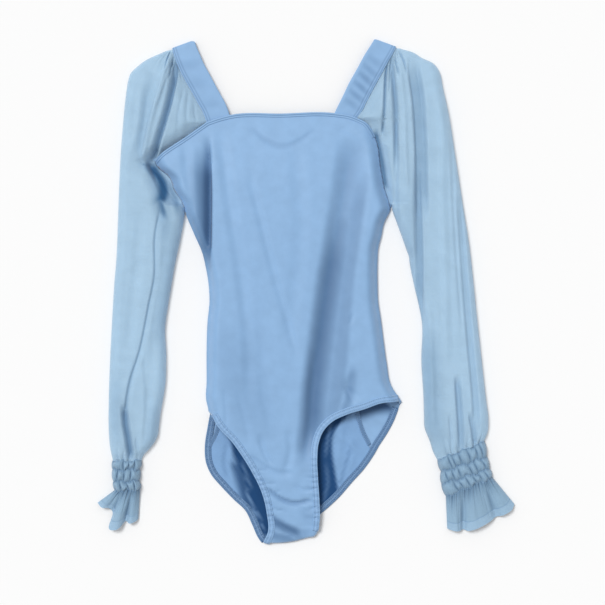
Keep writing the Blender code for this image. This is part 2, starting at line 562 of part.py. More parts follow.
def sleeve_ring(side, row, is_open, folds):
    """One section of a sleeve, from its inner edge over the top to the fold and back underneath."""
    outer_y, inner_y, top, edge = row
    outward = -1 if side == "left" else 1
    outer_x = float(smooth(LEFT_OUTER if side == "left" else RIGHT_OUTER, outer_y))
    if is_open:
        inner_x = sleeve_inner_edge(side, inner_y) + outward * 2 * SEAM_GAP
        under_x = sleeve_under_edge(side, inner_y) + outward * 2 * SEAM_GAP
    else:
        inner_x = float(smooth(LEFT_INNER if side == "left" else RIGHT_INNER, inner_y))
        under_x = inner_x
    width = abs(outer_x - inner_x)
    share = 0.5 - 0.5 * np.cos(math.pi * np.arange(SLEEVE_TOP_COLUMNS + 1) / SLEEVE_TOP_COLUMNS)
    x = inner_x + (outer_x - inner_x) * share
    y = inner_y + (outer_y - inner_y) * share
    dome = EDGE_HEIGHT + (top - EDGE_HEIGHT) * quarter_round(width * (1 - share), SLEEVE_ROUND)
    if is_open:
        rise = np.sin(math.pi / 2 * np.clip(width * share / OPEN_RISE, 0, 1))
        height = np.minimum(dome, edge + (top - edge) * rise)
    else:
        inner_dome = EDGE_HEIGHT + (top - EDGE_HEIGHT) * quarter_round(width * share, SLEEVE_ROUND)
        height = np.minimum(dome, inner_dome)
    room = np.sin(math.pi * share) ** 0.5 * min(1.0, width / FOLD_ROOM)
    for fold in folds:
        height = height - fold_depth(fold, x, y) * room
    upper = np.column_stack([x, y, np.maximum(height, EDGE_HEIGHT)])
    back = (np.arange(1, SLEEVE_UNDER_COLUMNS + 1) / SLEEVE_UNDER_COLUMNS) ** UNDER_SPREAD
    under_share = back if is_open else back[:-1]
    ux = outer_x + (under_x - outer_x) * under_share
    uy = outer_y + (inner_y - outer_y) * under_share
    lift = 1 - quarter_round(np.abs(ux - outer_x), UNDER_ROUND)
    if not is_open:
        lift = np.maximum(lift, 1 - quarter_round(np.abs(ux - under_x), UNDER_ROUND))
    under = np.column_stack([ux, uy, EDGE_HEIGHT * lift])
    if not is_open:
        under = np.vstack([under, upper[:1]])
    return np.vstack([upper, under])


def make_sleeve(side, material):
    """A sleeve in one piece: open along the armhole above the underarm, a tube below it."""
    rows, open_rows, folds = ((LEFT_ROWS, LEFT_OPEN_ROWS, LEFT_SLEEVE_FOLDS) if side == "left"
                              else (RIGHT_ROWS, RIGHT_OPEN_ROWS, RIGHT_SLEEVE_FOLDS))
    rings = [sleeve_ring(side, row, index < open_rows, folds) for index, row in enumerate(rows)]
    columns = SLEEVE_TOP_COLUMNS + SLEEVE_UNDER_COLUMNS + 1
    points = np.vstack(rings)
    faces = []
    for row in range(len(rows) - 1):
        for column in range(columns - 1):
            corners = [(row, column), (row, column + 1), (row + 1, column + 1), (row + 1, column)]
            numbers = [r * columns + (0 if c == columns - 1 and r >= open_rows else c) for r, c in corners]
            faces.append(tuple(numbers[::-1] if side == "right" else numbers))
    used = sorted({number for face in faces for number in face})
    place = {number: index for index, number in enumerate(used)}
    faces = [tuple(place[number] for number in face) for face in faces]
    return make_object(f"sleeve_{side}", points[used], faces, material, MESH_WALL)


def strap_line(row, z):
    """Points across a strap at one of its rows."""
    outer_y, outer_x, inner_y, inner_x = row
    share = np.arange(STRAP_COLUMNS + 1) / STRAP_COLUMNS
    x = outer_x + (inner_x - outer_x) * share
    y = outer_y + (inner_y - outer_y) * share
    return np.column_stack([x, y, np.full(len(share), z)])


def strap_base(side, neckline, z):
    """Points across a strap where it meets a neckline."""
    span = LEFT_STRAP_SPAN if side == "left" else RIGHT_STRAP_SPAN[::-1]
    x = np.linspace(span[0], span[1], STRAP_COLUMNS + 1)
    y = smooth(neckline, x) + 2 * SEAM_GAP
    return np.column_stack([x, y, np.full(len(x), z)])


def make_strap(side, material):
    """A strap: up the front from the neckline, round its fold at the shoulder, and down the back."""
    rows = LEFT_STRAP if side == "left" else RIGHT_STRAP
    lines = [strap_base(side, NECKLINE, STRAP_HEIGHT)]
    lines += [strap_line(row, STRAP_HEIGHT) for row in rows[:1:-1]]
    lines.append(strap_line(rows[1], 2 * STRAP_FOLD_RADIUS + STRAP_DIP))
    fold = strap_line(rows[0], 0)
    ahead = fold - strap_line(rows[1], 0)
    ahead /= np.linalg.norm(ahead, axis=1)[:, None]
    for turn in np.linspace(0, math.pi, STRAP_FOLD_STEPS):
        along = ahead * STRAP_FOLD_RADIUS * (math.sin(turn) - 1)
        height = STRAP_FOLD_RADIUS * (1 + math.cos(turn))
        lines.append(fold + along + np.array([0, 0, height]))
    lines += [strap_line(row, 0) for row in rows[1:]]
    lines.append(strap_base(side, BACK_NECKLINE, 0))
    faces = strip_faces(len(lines), STRAP_COLUMNS + 1, False)
    if side == "right":
        faces = [face[::-1] for face in faces]
    return make_object(f"strap_{side}", np.vstack(lines), faces, material, KNIT_WALL)


def cuff_ring(left, right, thickness, raised, wall):
    """One section of a cuff between two ends: rounded over the top with its gathers, flat underneath."""
    top = np.linspace(0, 1, CUFF_TOP_COLUMNS + 1)
    under = np.linspace(1, 0, CUFF_UNDER_COLUMNS + 1)[1:-1]
    share = np.concatenate([top, under])
    upper = np.arange(len(share)) <= CUFF_TOP_COLUMNS
    width = np.linalg.norm(right - left)
    from_end = (0.5 - np.abs(share - 0.5)) * width
    round_off = quarter_round(from_end, thickness * CUFF_ROUND)
    low, high = wall, thickness - wall
    height = np.where(upper, EDGE_HEIGHT + (high - EDGE_HEIGHT) * round_off,
                      low + (EDGE_HEIGHT - low) * (1 - quarter_round(from_end, UNDER_ROUND)))
    height[:CUFF_TOP_COLUMNS + 1] += raised * round_off[:CUFF_TOP_COLUMNS + 1]
    shrink = wall * (1 - 2 * share) / width
    flat = left + np.outer(share + shrink, right - left)
    return np.column_stack([flat, height])


def cuff_band(side):
    """Outer and inner sections of the shirred band: puffs between the elastic rows, broken by gathers."""
    elastics = np.array(LEFT_ELASTICS if side == "left" else RIGHT_ELASTICS)
    gathers = LEFT_GATHERS if side == "left" else RIGHT_GATHERS
    column = np.arange(CUFF_TOP_COLUMNS + 1) / CUFF_TOP_COLUMNS
    outer, inner = [], []
    for step in range((len(elastics) - 1) * PUFF_STEPS + 1):
        band = min(step // PUFF_STEPS, len(elastics) - 2)
        part = step / PUFF_STEPS - band
        row = elastics[band] + (elastics[band + 1] - elastics[band]) * part
        puff = math.sin(math.pi * part)
        waves = np.cos(2 * math.pi * (gathers * column + 0.5 * band))
        raised = puff * (PUFF_HEIGHT + GATHER_DEPTH * waves)
        swell = puff * PUFF_SWELL * (row[2:4] - row[0:2]) / np.linalg.norm(row[2:4] - row[0:2])
        outer.append(cuff_ring(row[0:2] - swell, row[2:4] + swell, row[4], raised, 0.0))
        inner.append(cuff_ring(row[0:2], row[2:4], row[4], np.zeros_like(raised), CUFF_WALL))
    return outer, inner


def ruffle_hem(side):
    """The ruffle's hem as a ring: wavy over the top, flat and a little longer underneath."""
    hem = np.array(LEFT_RUFFLE if side == "left" else RIGHT_RUFFLE)
    share = np.arange(CUFF_TOP_COLUMNS + 1) / CUFF_TOP_COLUMNS
    top = np.column_stack([np.interp(share, hem[:, 0], hem[:, column]) for column in (1, 2, 3)])
    back = np.linspace(1, 0, CUFF_UNDER_COLUMNS + 1)[1:-1]
    middle_y = (hem[0, 2] + hem[-1, 2]) / 2 - RUFFLE_SAG
    floor = np.column_stack([np.interp(back, (0, 1), (hem[0, 1], hem[-1, 1])),
                             np.interp(back, (0, 0.5, 1), (hem[0, 2], middle_y, hem[-1, 2])),
                             np.zeros(len(back))])
    return np.vstack([top, floor])


def ruffle_rings(side, start):
    """Outer and inner sections of the ruffle, from the last elastic row to the wavy hem."""
    end = ruffle_hem(side)
    middle = np.mean(end, axis=0)
    outer, inner = [], []
    for step in range(1, RUFFLE_STEPS + 1):
        part = step / RUFFLE_STEPS
        rise = 1 - (1 - part) ** RUFFLE_SWEEP
        ring = start + (end - start) * np.array([part, part, rise])
        inward = middle - ring
        inward[:, 2] = 0
        inward /= np.linalg.norm(inward, axis=1)[:, None]
        core = ring + inward * (MESH_WALL / 2)
        core[:, 2] += np.where(np.arange(len(ring)) <= CUFF_TOP_COLUMNS, -MESH_WALL, MESH_WALL)
        for edge in (0, CUFF_TOP_COLUMNS):
            core[edge] = ring[edge] + inward[edge] * RUFFLE_EDGE_WALL
        outer.append(ring)
        inner.append(core)
    return outer, inner


def make_cuff(side, material):
    """A cuff with its ruffle: one closed wall between the outer sections and plainer inner ones."""
    outer, inner = cuff_band(side)
    more_outer, more_inner = ruffle_rings(side, outer[-1])
    outer, inner = outer + more_outer, inner + more_inner
    rings = outer + inner[::-1]
    columns = len(rings[0])
    faces = strip_faces(len(rings), columns, True)
    last = (len(rings) - 1) * columns
    faces += [(last + column, last + (column + 1) % columns, (column + 1) % columns, column)
              for column in range(columns)]
    return make_object(f"cuff_{side}", np.vstack(rings), [face[::-1] for face in faces], material)


def on_front(run):
    """Points of the front's outer face along a run in its cloth."""
    return front_point(run[:, 0], run[:, 1])


def on_back(run):
    """Points of the back's inner face along a run."""
    return np.column_stack([run, np.full(len(run), KNIT_WALL)])


def under_leg_edges():
    """Left and right leg edges on the underside: over the front's turned-under cloth and the back."""
    left = resample(LEFT_LEG_UNDER + LEFT_LEG_BACK[1:], EDGE_STEP)
    right = resample((RIGHT_LEG_UNDER + RIGHT_LEG_BACK[1:])[::-1], EDGE_STEP)
    return left, right


def make_bands(material):
    """The bindings and the elastic hems, each made from the points of the panel that it lies on."""
    front, back = front_edges(), back_edges()
    left_under, right_under = under_leg_edges()
    make_band("neck_binding_front", on_front, front["neck"], BINDING_WIDTH, material)
    make_band("leg_hem_left_front", on_front, front["left_leg"], HEM_WIDTH, material)
    make_band("leg_hem_right_front", on_front, front["right_leg"], HEM_WIDTH, material)
    make_band("neck_binding_back", on_back, back["neck"], BINDING_WIDTH, material, (2, 2))
    make_band("leg_hem_left_back", on_back, left_under, HEM_WIDTH, material, (1, 2))
    make_band("leg_hem_right_back", on_back, right_under, HEM_WIDTH, material, (2, 1))


def main():
    """Clears the scene and makes the whole leotard."""
    for old in list(bpy.data.objects):
        bpy.data.objects.remove(old, do_unlink=True)
    bpy.context.scene.collection.children.link(bpy.data.collections.new("leotard"))
    knit = make_material("blue_knit", (0.33, 0.5, 0.76), 0.55)
    sheer = make_material("sheer_mesh", (0.45, 0.62, 0.78), 0.7)
    trim = make_material("blue_trim", (0.36, 0.54, 0.8), 0.5)
    make_front(knit)
    make_back(knit)
    for side in ("left", "right"):
        make_strap(side, knit)
        make_sleeve(side, sheer)
        make_cuff(side, sheer)
    make_bands(trim)


main()
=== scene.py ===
"""The looks of a light blue leotard with sheer puff sleeves, laid flat on its back.

Each piece of cloth is a thin shell on the form of its solid: the same edges, heights and folds, worked out
more finely, with the creases, gathers, bindings and stitches that the real cloth shows. The tables are in
millimetres in the plane that the garment lies on, with its neckline towards +Y.
"""
import math
from collections import namedtuple

import bpy
import numpy as np
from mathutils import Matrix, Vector
from mathutils.geometry import delaunay_2d_cdt


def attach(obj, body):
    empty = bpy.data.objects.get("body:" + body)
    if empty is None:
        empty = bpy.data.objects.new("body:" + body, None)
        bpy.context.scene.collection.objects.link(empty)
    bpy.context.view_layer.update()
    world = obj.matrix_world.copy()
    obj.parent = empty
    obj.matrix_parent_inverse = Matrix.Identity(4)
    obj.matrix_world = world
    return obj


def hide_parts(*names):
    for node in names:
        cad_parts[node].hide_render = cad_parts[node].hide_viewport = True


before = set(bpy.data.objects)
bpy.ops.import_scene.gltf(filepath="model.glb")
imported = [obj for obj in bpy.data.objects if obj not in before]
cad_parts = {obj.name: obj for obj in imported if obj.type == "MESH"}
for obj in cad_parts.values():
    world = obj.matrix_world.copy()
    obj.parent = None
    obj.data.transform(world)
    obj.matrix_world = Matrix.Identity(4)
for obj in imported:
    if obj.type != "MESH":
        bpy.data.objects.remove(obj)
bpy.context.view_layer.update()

MM = 0.001
UP = np.array([0.0, 0.0, 1.0])

# Middle of the whole garment's box in the tables' plane, which becomes the origin
MIDDLE = (0.75, 0.2, 0.0)

# Cloth and the gaps between its pieces
KNIT_WALL = 1.2
KNIT_SHELL = 0.55
SEAM_GAP = 0.3
SEWN_GAP = 0.3
SIDE_ROLL = 3.0
CROTCH_ROLL = 6.0
EDGE_HEIGHT = 2.0
MIN_HEIGHT = 3.0

# How finely outlines and sheets are made
EDGE_STEP = 2.5
SEAM_STEP = 3.0
FINE_STEP = 3.0
FINE_BACK = 4.0
MERGE_DISTANCE = 0.6
NEAR_EDGE = 0.1
LATTICE_ROOM = 0.6
ROLL_ROWS = range(-158, 105, 3)
ROLL_SHARES = (0, 0.33, 0.67, 1)
SHARP_FLANK = 3.5
SHARP_DEPTH = 3.0

# Side folds of the body: (y, x of the silhouette)
LEFT_FOLD = [(177, -204.5), (169, -200.5), (155, -184.7), (136, -177), (123, -168), (106, -162.8),
             (74, -149.4), (55, -141), (31, -135), (10, -131.6), (-13, -130.3), (-41, -133), (-82, -134.3),
             (-124, -134.3), (-145, -135), (-165, -131.5), (-186, -136.5), (-212, -139.5), (-345, -139.5)]
RIGHT_FOLD = [(209, 94.8), (194, 99), (176, 101), (158, 103.7), (145, 106), (117, 114.1), (111, 115.4),
              (105, 112.7), (94, 107.3), (75, 103), (59, 99), (40, 97.9), (10, 97.9), (-14, 98.8),
              (-37, 102.3), (-66, 106), (-98, 110.4), (-128, 116.8), (-146, 128.6), (-151, 132), (-345, 132)]

# Side seams, which lie on the underside, inboard of the folds: (y, x)
LEFT_SEAM = [(104, -160.5), (88, -148.5), (66, -138.5), (40, -127), (-12, -119), (-80, -121), (-145, -118),
             (-186, -119), (-211, -130)]
RIGHT_SEAM = [(109, 113), (94, 100), (70, 92), (40, 87), (-14, 86), (-66, 80), (-98, 75), (-158, 69),
              (-185, 76), (-209, 86.5)]
LEFT_UNDERARM_Y = 106
RIGHT_UNDERARM_Y = 111

# The parts of the side seams that the leg openings show: (x, y)
LEFT_SEAM_SHOWN = [(-118, -160), (-119, -186), (-130, -210)]
RIGHT_SEAM_SHOWN = [(65, -140), (69, -158), (76, -185), (86.5, -208)]

# Front neckline with its slanted armhole ends, from the left corner to the right: (x, y)
NECKLINE = [(-204.5, 176.7), (-193.7, 186.2), (-163.2, 207.2), (-133, 228.8), (-120, 233.5), (-102, 238.3),
            (-32, 240.3), (38.5, 241), (62.8, 236.9), (78.3, 230.2), (89, 219), (94.8, 209.5)]
RIGHT_APEX = (68.5, 234.7)

# Front leg edges on the upper side, from the side fold to the crotch: (x, y)
LEFT_LEG = [(-126, -168), (-118, -181.6), (-98.4, -203.2), (-83.3, -224.8), (-70.5, -246.4),
            (-61.8, -263.9), (-55.4, -282.8), (-52, -301.7), (-50.5, -323.3), (-57, -339.5)]
RIGHT_LEG = [(126, -148.5), (101.9, -150.5), (80.3, -158.1), (56.6, -165.4), (37.1, -174.8), (24.3, -188.3),
             (17.8, -205.3), (16.1, -224.8), (16.9, -248.4), (18.9, -280.1), (19.6, -304.4), (17.8, -323.3)]
CROTCH = [(-57, -340.3), (-40.2, -340.9), (-18.8, -338.9), (2.8, -333.5), (13.5, -330.1), (17.8, -323.3)]

# Back leg edges: the first rows are on the front's cloth, up to the side seam, the rest on the back: (x, y)
LEFT_LEG_UNDER = [(-129.6, -166), (-133, -185.6), (-136.1, -205), (-136.4, -220.8)]
RIGHT_LEG_UNDER = [(128, -154), (118.9, -177.5), (108.3, -196.4), (100, -209), (93.6, -220.3)]
LEFT_LEG_BACK = [(-136.3, -222), (-135.4, -229.5), (-128.9, -246.4), (-113.4, -265.3), (-96.5, -282.8),
                 (-81.1, -297.7), (-72.6, -315.2), (-64.1, -334.1), (-59.5, -340.6)]
RIGHT_LEG_BACK = [(93.1, -221.1), (80.3, -239.6), (62.8, -259.2), (45.8, -278.8), (33.1, -290.9),
                  (19.6, -302.5)]

# Back panel above the underarms, from the left to the right: (x, y)
BACK_TOP_LEFT = [(-201.6, 124.7), (-210, 142), (-215, 160), (-217, 173)]
BACK_NECKLINE = [(-217, 173), (-205, 180), (-170, 203), (-133, 223.5), (-102, 227), (-32, 228), (38.5, 228),
                 (68.5, 225), (84, 217), (100, 205), (111, 197.8)]
BACK_TOP_RIGHT = [(111, 197.8), (114, 176), (117, 158), (119.3, 143), (119.6, 127.5)]
LEFT_UNDERARM_TURN = [(-153.5, 99), (-156, 107.1), (-162.8, 107.1)]
RIGHT_UNDERARM_TURN = [(103.5, 103), (108.5, 112.1), (115.5, 112.1)]
TURN_ROOM = 12.0

# Height of the front's middle above the floor: (y, height)
FRONT_CROWN = [(242, 9.2), (205, 14), (160, 20), (100, 23), (0, 23), (-90, 22), (-150, 20), (-200, 18),
               (-260, 15), (-310, 11), (-345, 8)]

# How far from the sides the front reaches its full height, and its creases their full depth
CROWN_RUN = 14.0
SIDE_FADE = 14.0

# Sleeves from the strap top to the cuff: (outer y, inner y, top height, height at the open inner edge)
SLEEVE_ROWS = {
    "left": [(326, 327.5, 5, 5), (319, 320, 8, 6), (309, 309, 12, 6.5), (297, 297, 15, 7),
             (285, 284, 17, 7), (270, 270, 18, 7.5), (255, 255, 19, 8), (241, 241, 20, 8),
             (229.3, 228.8, 20, 8), (218, 218, 20, 8), (206, 206, 20, 7.5), (194, 194, 20, 7),
             (184, 186, 19, 6), (173, 176.7, 18, 4), (158, 160, 17, 3), (141, 142, 17, 3),
             (124, 124, 17, 3),
             *[(y, y, 17, 2) for y in (106, 88, 66, 42, 14, -17, -48, -82, -115, -146, -172)],
             (-193, -193, 16, 2), (-208, -208, 15, 2), (-219, -219, 14, 2), (-227.7, -227.7, 12, 2)],
    "right": [(329.5, 329.5, 5, 5), (325, 321, 8, 6), (313, 310, 12, 6.5), (300, 298, 15, 7),
              (286, 285, 17, 7), (271, 270, 18, 7.5), (256, 256, 19, 8), (244, 244, 20, 8),
              (234.7, 234.7, 20, 8), (225, 225, 20, 8), (217, 217, 20, 7.5), (209.5, 209.5, 20, 5),
              (192, 192, 20, 4), (176, 176, 19, 3), (158, 158, 19, 3), (143, 143, 18, 3), (127, 127, 18, 3),
              *[(y, y, 18, 2) for y in (111, 90, 68, 44, 14, -16, -47, -82, -115)], (-143, -146, 18, 2),
              (-164, -172, 18, 2), (-178, -192, 17, 2), (-189, -207, 15, 2), (-196, -218, 14, 2),
              (-201.5, -226, 12, 2)]}
OPEN_ROWS = 17

# Outer and inner edge of the sleeves: (y, x)
SLEEVE_OUTER = {
    "left": [(329, -181.6), (323.3, -195.1), (313.9, -215.3), (304.4, -228), (296.3, -236.3),
             (285.5, -240.3), (273.4, -242.3), (222, -247.7), (160, -251.8), (109, -253.8), (42.5, -256.5),
             (14, -258.9), (-48, -262.6), (-103, -265.3), (-146.5, -266.6), (-188, -266.6), (-213, -264.5),
             (-228, -261.2)],
    "right": [(331.5, 123.5), (328.7, 130.3), (325.5, 141.9), (316, 158.6), (309.8, 172.1), (303, 178.9),
              (296, 182.4), (280, 185.6), (250, 192.4), (184, 203.2), (114, 214), (69.5, 221.1),
              (14, 227.5), (-38.5, 232.9), (-88, 238.3), (-146.5, 244.8), (-173.5, 248), (-192, 246.6),
              (-202, 242.3)]}
SLEEVE_INNER = {
    "left": [(105, -163.4), (90, -165.9), (68, -170.1), (40, -176.2), (17, -180.2), (-15.5, -185.6),
             (-48, -190.1), (-88, -188.7), (-128, -190.1), (-146.5, -193), (-160, -195.6), (-181, -198.3),
             (-196, -200.5), (-203, -203.8), (-214, -212.1), (-222, -219.5), (-228, -222)],
    "right": [(112, 116.8), (69.5, 132.3), (56, 137), (47.9, 140), (39.8, 141), (7.4, 147.4),
              (-23.6, 154.6), (-38.5, 157.3), (-95, 157), (-146.5, 160), (-167, 160.5), (-184, 161.3),
              (-202, 168.1), (-221, 174.8), (-227, 178.4)]}

# Form of the sleeves: how round and how open their sections are, and how the cloth lies underneath
SLEEVE_PITCH = 2.0
SLEEVE_TOP = 96
SLEEVE_UNDER = 34
SLEEVE_SPREAD = 0.35
SLEEVE_ROUND = 14.4
SLEEVE_EDGE_ROOM = 7.0
SLEEVE_TAIL = 1.8
OPEN_RISE = 30.0
FOLD_ROOM = 55.0
UNDER_SPREAD = 1.3
UNDER_ROUND = 4.0
UNDER_REST = 0.25
UNDER_WAVE = 1.6

# How far the gathers reach along a sleeve from its cuff and from its strap, and how deep they are
CUFF_GATHER = (30.0, 2.6)
CAP_GATHER = (46.0, 1.8)

# Straps: inner and outer edge (y of the row's outer end, x outer, y inner, x inner), from the fold down
STRAPS = {
    "left": [(328.5, -180.4, 339.5, -150.6), (320, -178, 330, -147), (309, -174.2, 319, -142.3),
             (297, -169, 308, -137.5), (284, -162, 296, -131), (270, -154, 282, -123.5),
             (255, -145.8, 267, -115.4), (241, -138.2, 252, -107.3)],
    "right": [(330.5, 122.7, 341.3, 93.4), (321, 117.7, 331, 87), (310, 111.5, 319, 79.4),
              (298, 105, 307, 73), (285, 97.8, 294, 65.8), (270, 89.8, 280, 58), (256, 82.5, 266, 51.5),
              (244, 76.5, 254, 45.5)]}

# Outer and inner end of each strap on the neckline, by x
STRAP_SPANS = {"left": (-133, -102), "right": (68.5, 38.5)}

# Soft cross creases of the straps: (distance from the neckline, slant across the strap, width, depth)
STRAP_CREASES = {
    "left": [(22, -6, 6, 0.4), (55, -8, 8, 0.5), (84, -6, 8, 0.5)],
    "right": [(12, 10, 4.5, 1.2), (24, 13, 4, 1.7), (37, 14, 4, 1.9), (50, 15, 4.5, 1.9), (63, 14, 4, 1.5),
              (78, 12, 5, 1.0)]}

# Form of the straps
STRAP_FINE = 32
STRAP_SHARES = np.arange(STRAP_FINE + 1) / STRAP_FINE
STRAP_STEP = 2.2
STRAP_TURNS = 18
STRAP_WIDTH = 32.0
STRAP_WALL = 1.3
STRAP_EDGE = 1.2
STRAP_HEIGHT = 7.5
STRAP_REST = 1.35
STRAP_TUCK = -1.5
STRAP_FALL = 24.0
STRAP_FOLD_RADIUS = 3.0

# How far the corner at each strap's tip is rounded on the side of the neck, and where across it that starts
STRAP_CORNER = {"left": 2.7, "right": 0.8}
CORNER_START = 0.82

# Shirred cuffs, a row for each elastic: (x left, y left, x right, y right, thickness)
ELASTICS = {
    "left": [(-261, -228.3, -222.2, -228.3, 12), (-261.5, -241, -224.5, -240, 12),
             (-260.5, -257, -225, -256, 12), (-258.5, -269, -224, -268, 12)],
    "right": [(178.8, -226.9, 242.6, -202.4, 12), (183.5, -243.7, 245.5, -222.8, 12.5),
              (184, -260, 249.5, -239.6, 12.5), (190, -277, 253, -251, 12.5)]}

# Where the gathers of each row of puffs lie, as shares of the cuff's width, and how far they slant
PUFFS = {
    "left": [((0, 0.42, 0.6, 0.8, 1), 0.03), ((0, 0.22, 0.45, 0.68, 1), -0.05),
             ((0, 0.3, 0.55, 0.8, 1), 0.06)],
    "right": [((0, 0.23, 0.31, 0.44, 0.62, 0.78, 0.88, 1), 0.05),
              ((0, 0.12, 0.25, 0.38, 0.6, 0.72, 0.88, 1), 0.07),
              ((0, 0.26, 0.36, 0.5, 0.64, 0.75, 0.88, 1), 0.06)]}

# Form of the cuffs: how many gathers they have, how high the puffs stand, and how the rows waver
CUFF_FINE = 170
CUFF_UNDER_FINE = 60
CUFF_SHARES = np.arange(CUFF_FINE + 1) / CUFF_FINE
CUFF_PITCH = 1.4
CUFF_ROUND = 0.8
CUFF_REST = 0.3
CUFF_SHIFTS = (0.1, 0.42, 0.15, 0.6)
CUFF_WOBBLES = ((0.8, 0.9, 0.7), (1.5, 0.37, 1.3))
GATHER_COUNTS = {"left": 5, "right": 8}
GATHER_DROP = 1.2
PUFF_FINE = 12
PUFF_SWELL = 1.56
PUFF_LOW = 0.6
PUFF_TALL = 4.6

# Ruffle hem on the upper side, from its left to its right end: (share of the way, x, y, height)
RUFFLES = {
    "left": [(0, -281.5, -286, 4), (0.12, -275, -292, 9), (0.24, -264, -294, 6), (0.3, -261, -300, 3.4),
             (0.38, -266, -318, 7), (0.5, -257, -322, 11), (0.62, -249, -317, 8), (0.69, -244, -311, 3.6),
             (0.8, -238, -313.5, 9), (0.92, -230, -311, 7), (1, -226.5, -308, 3)],
    "right": [(0, 192, -321, 3.5), (0.12, 199, -323, 9), (0.28, 209, -323.5, 8), (0.34, 213, -322, 3.6),
              (0.44, 220, -323.5, 8), (0.6, 236, -318, 12), (0.74, 252, -309, 8), (0.8, 258, -305, 3.6),
              (0.88, 268, -302, 9), (0.95, 279, -295, 8), (1, 283, -288, 4)]}
# Where painted shade marks the two valleys of each ruffle, as shares of its width
RUFFLE_VALLEYS = {"left": (0.3, 0.69), "right": (0.34, 0.8)}
RUFFLE_FINE = 30
RUFFLE_SAG = 4.0
RUFFLE_SWEEP = 1.6
RUFFLE_LOWEST = 1.2
RUFFLE_LOBES = 3.2
RUFFLE_FLUTES = 1.2

# Turned hem of the ruffles
HEM_RINGS = 7
HEM_LIFT = 0.35
HEM_DROP = 0.2
HEM_LOWEST = 0.1

# A crease: which way it runs, its path (along, across), its flank on the low side and on the high side of
# the path, its depth (less than 0 for a ridge), the fade at its ends, how much painted shade darkens
# the cloth at its bottom (less than 0 to take painted shade away), and the flat share of each flank
Crease = namedtuple("Crease", "way path low high depth fade dark flats", defaults=(0, (0, 0)))


def down(*values, **flats):
    """A crease that runs towards the crotch: its path holds (y, x)."""
    return Crease("down", *values, **flats)


def across(*values, **flats):
    """A crease that runs from side to side: its path holds (x, y)."""
    return Crease("across", *values, **flats)
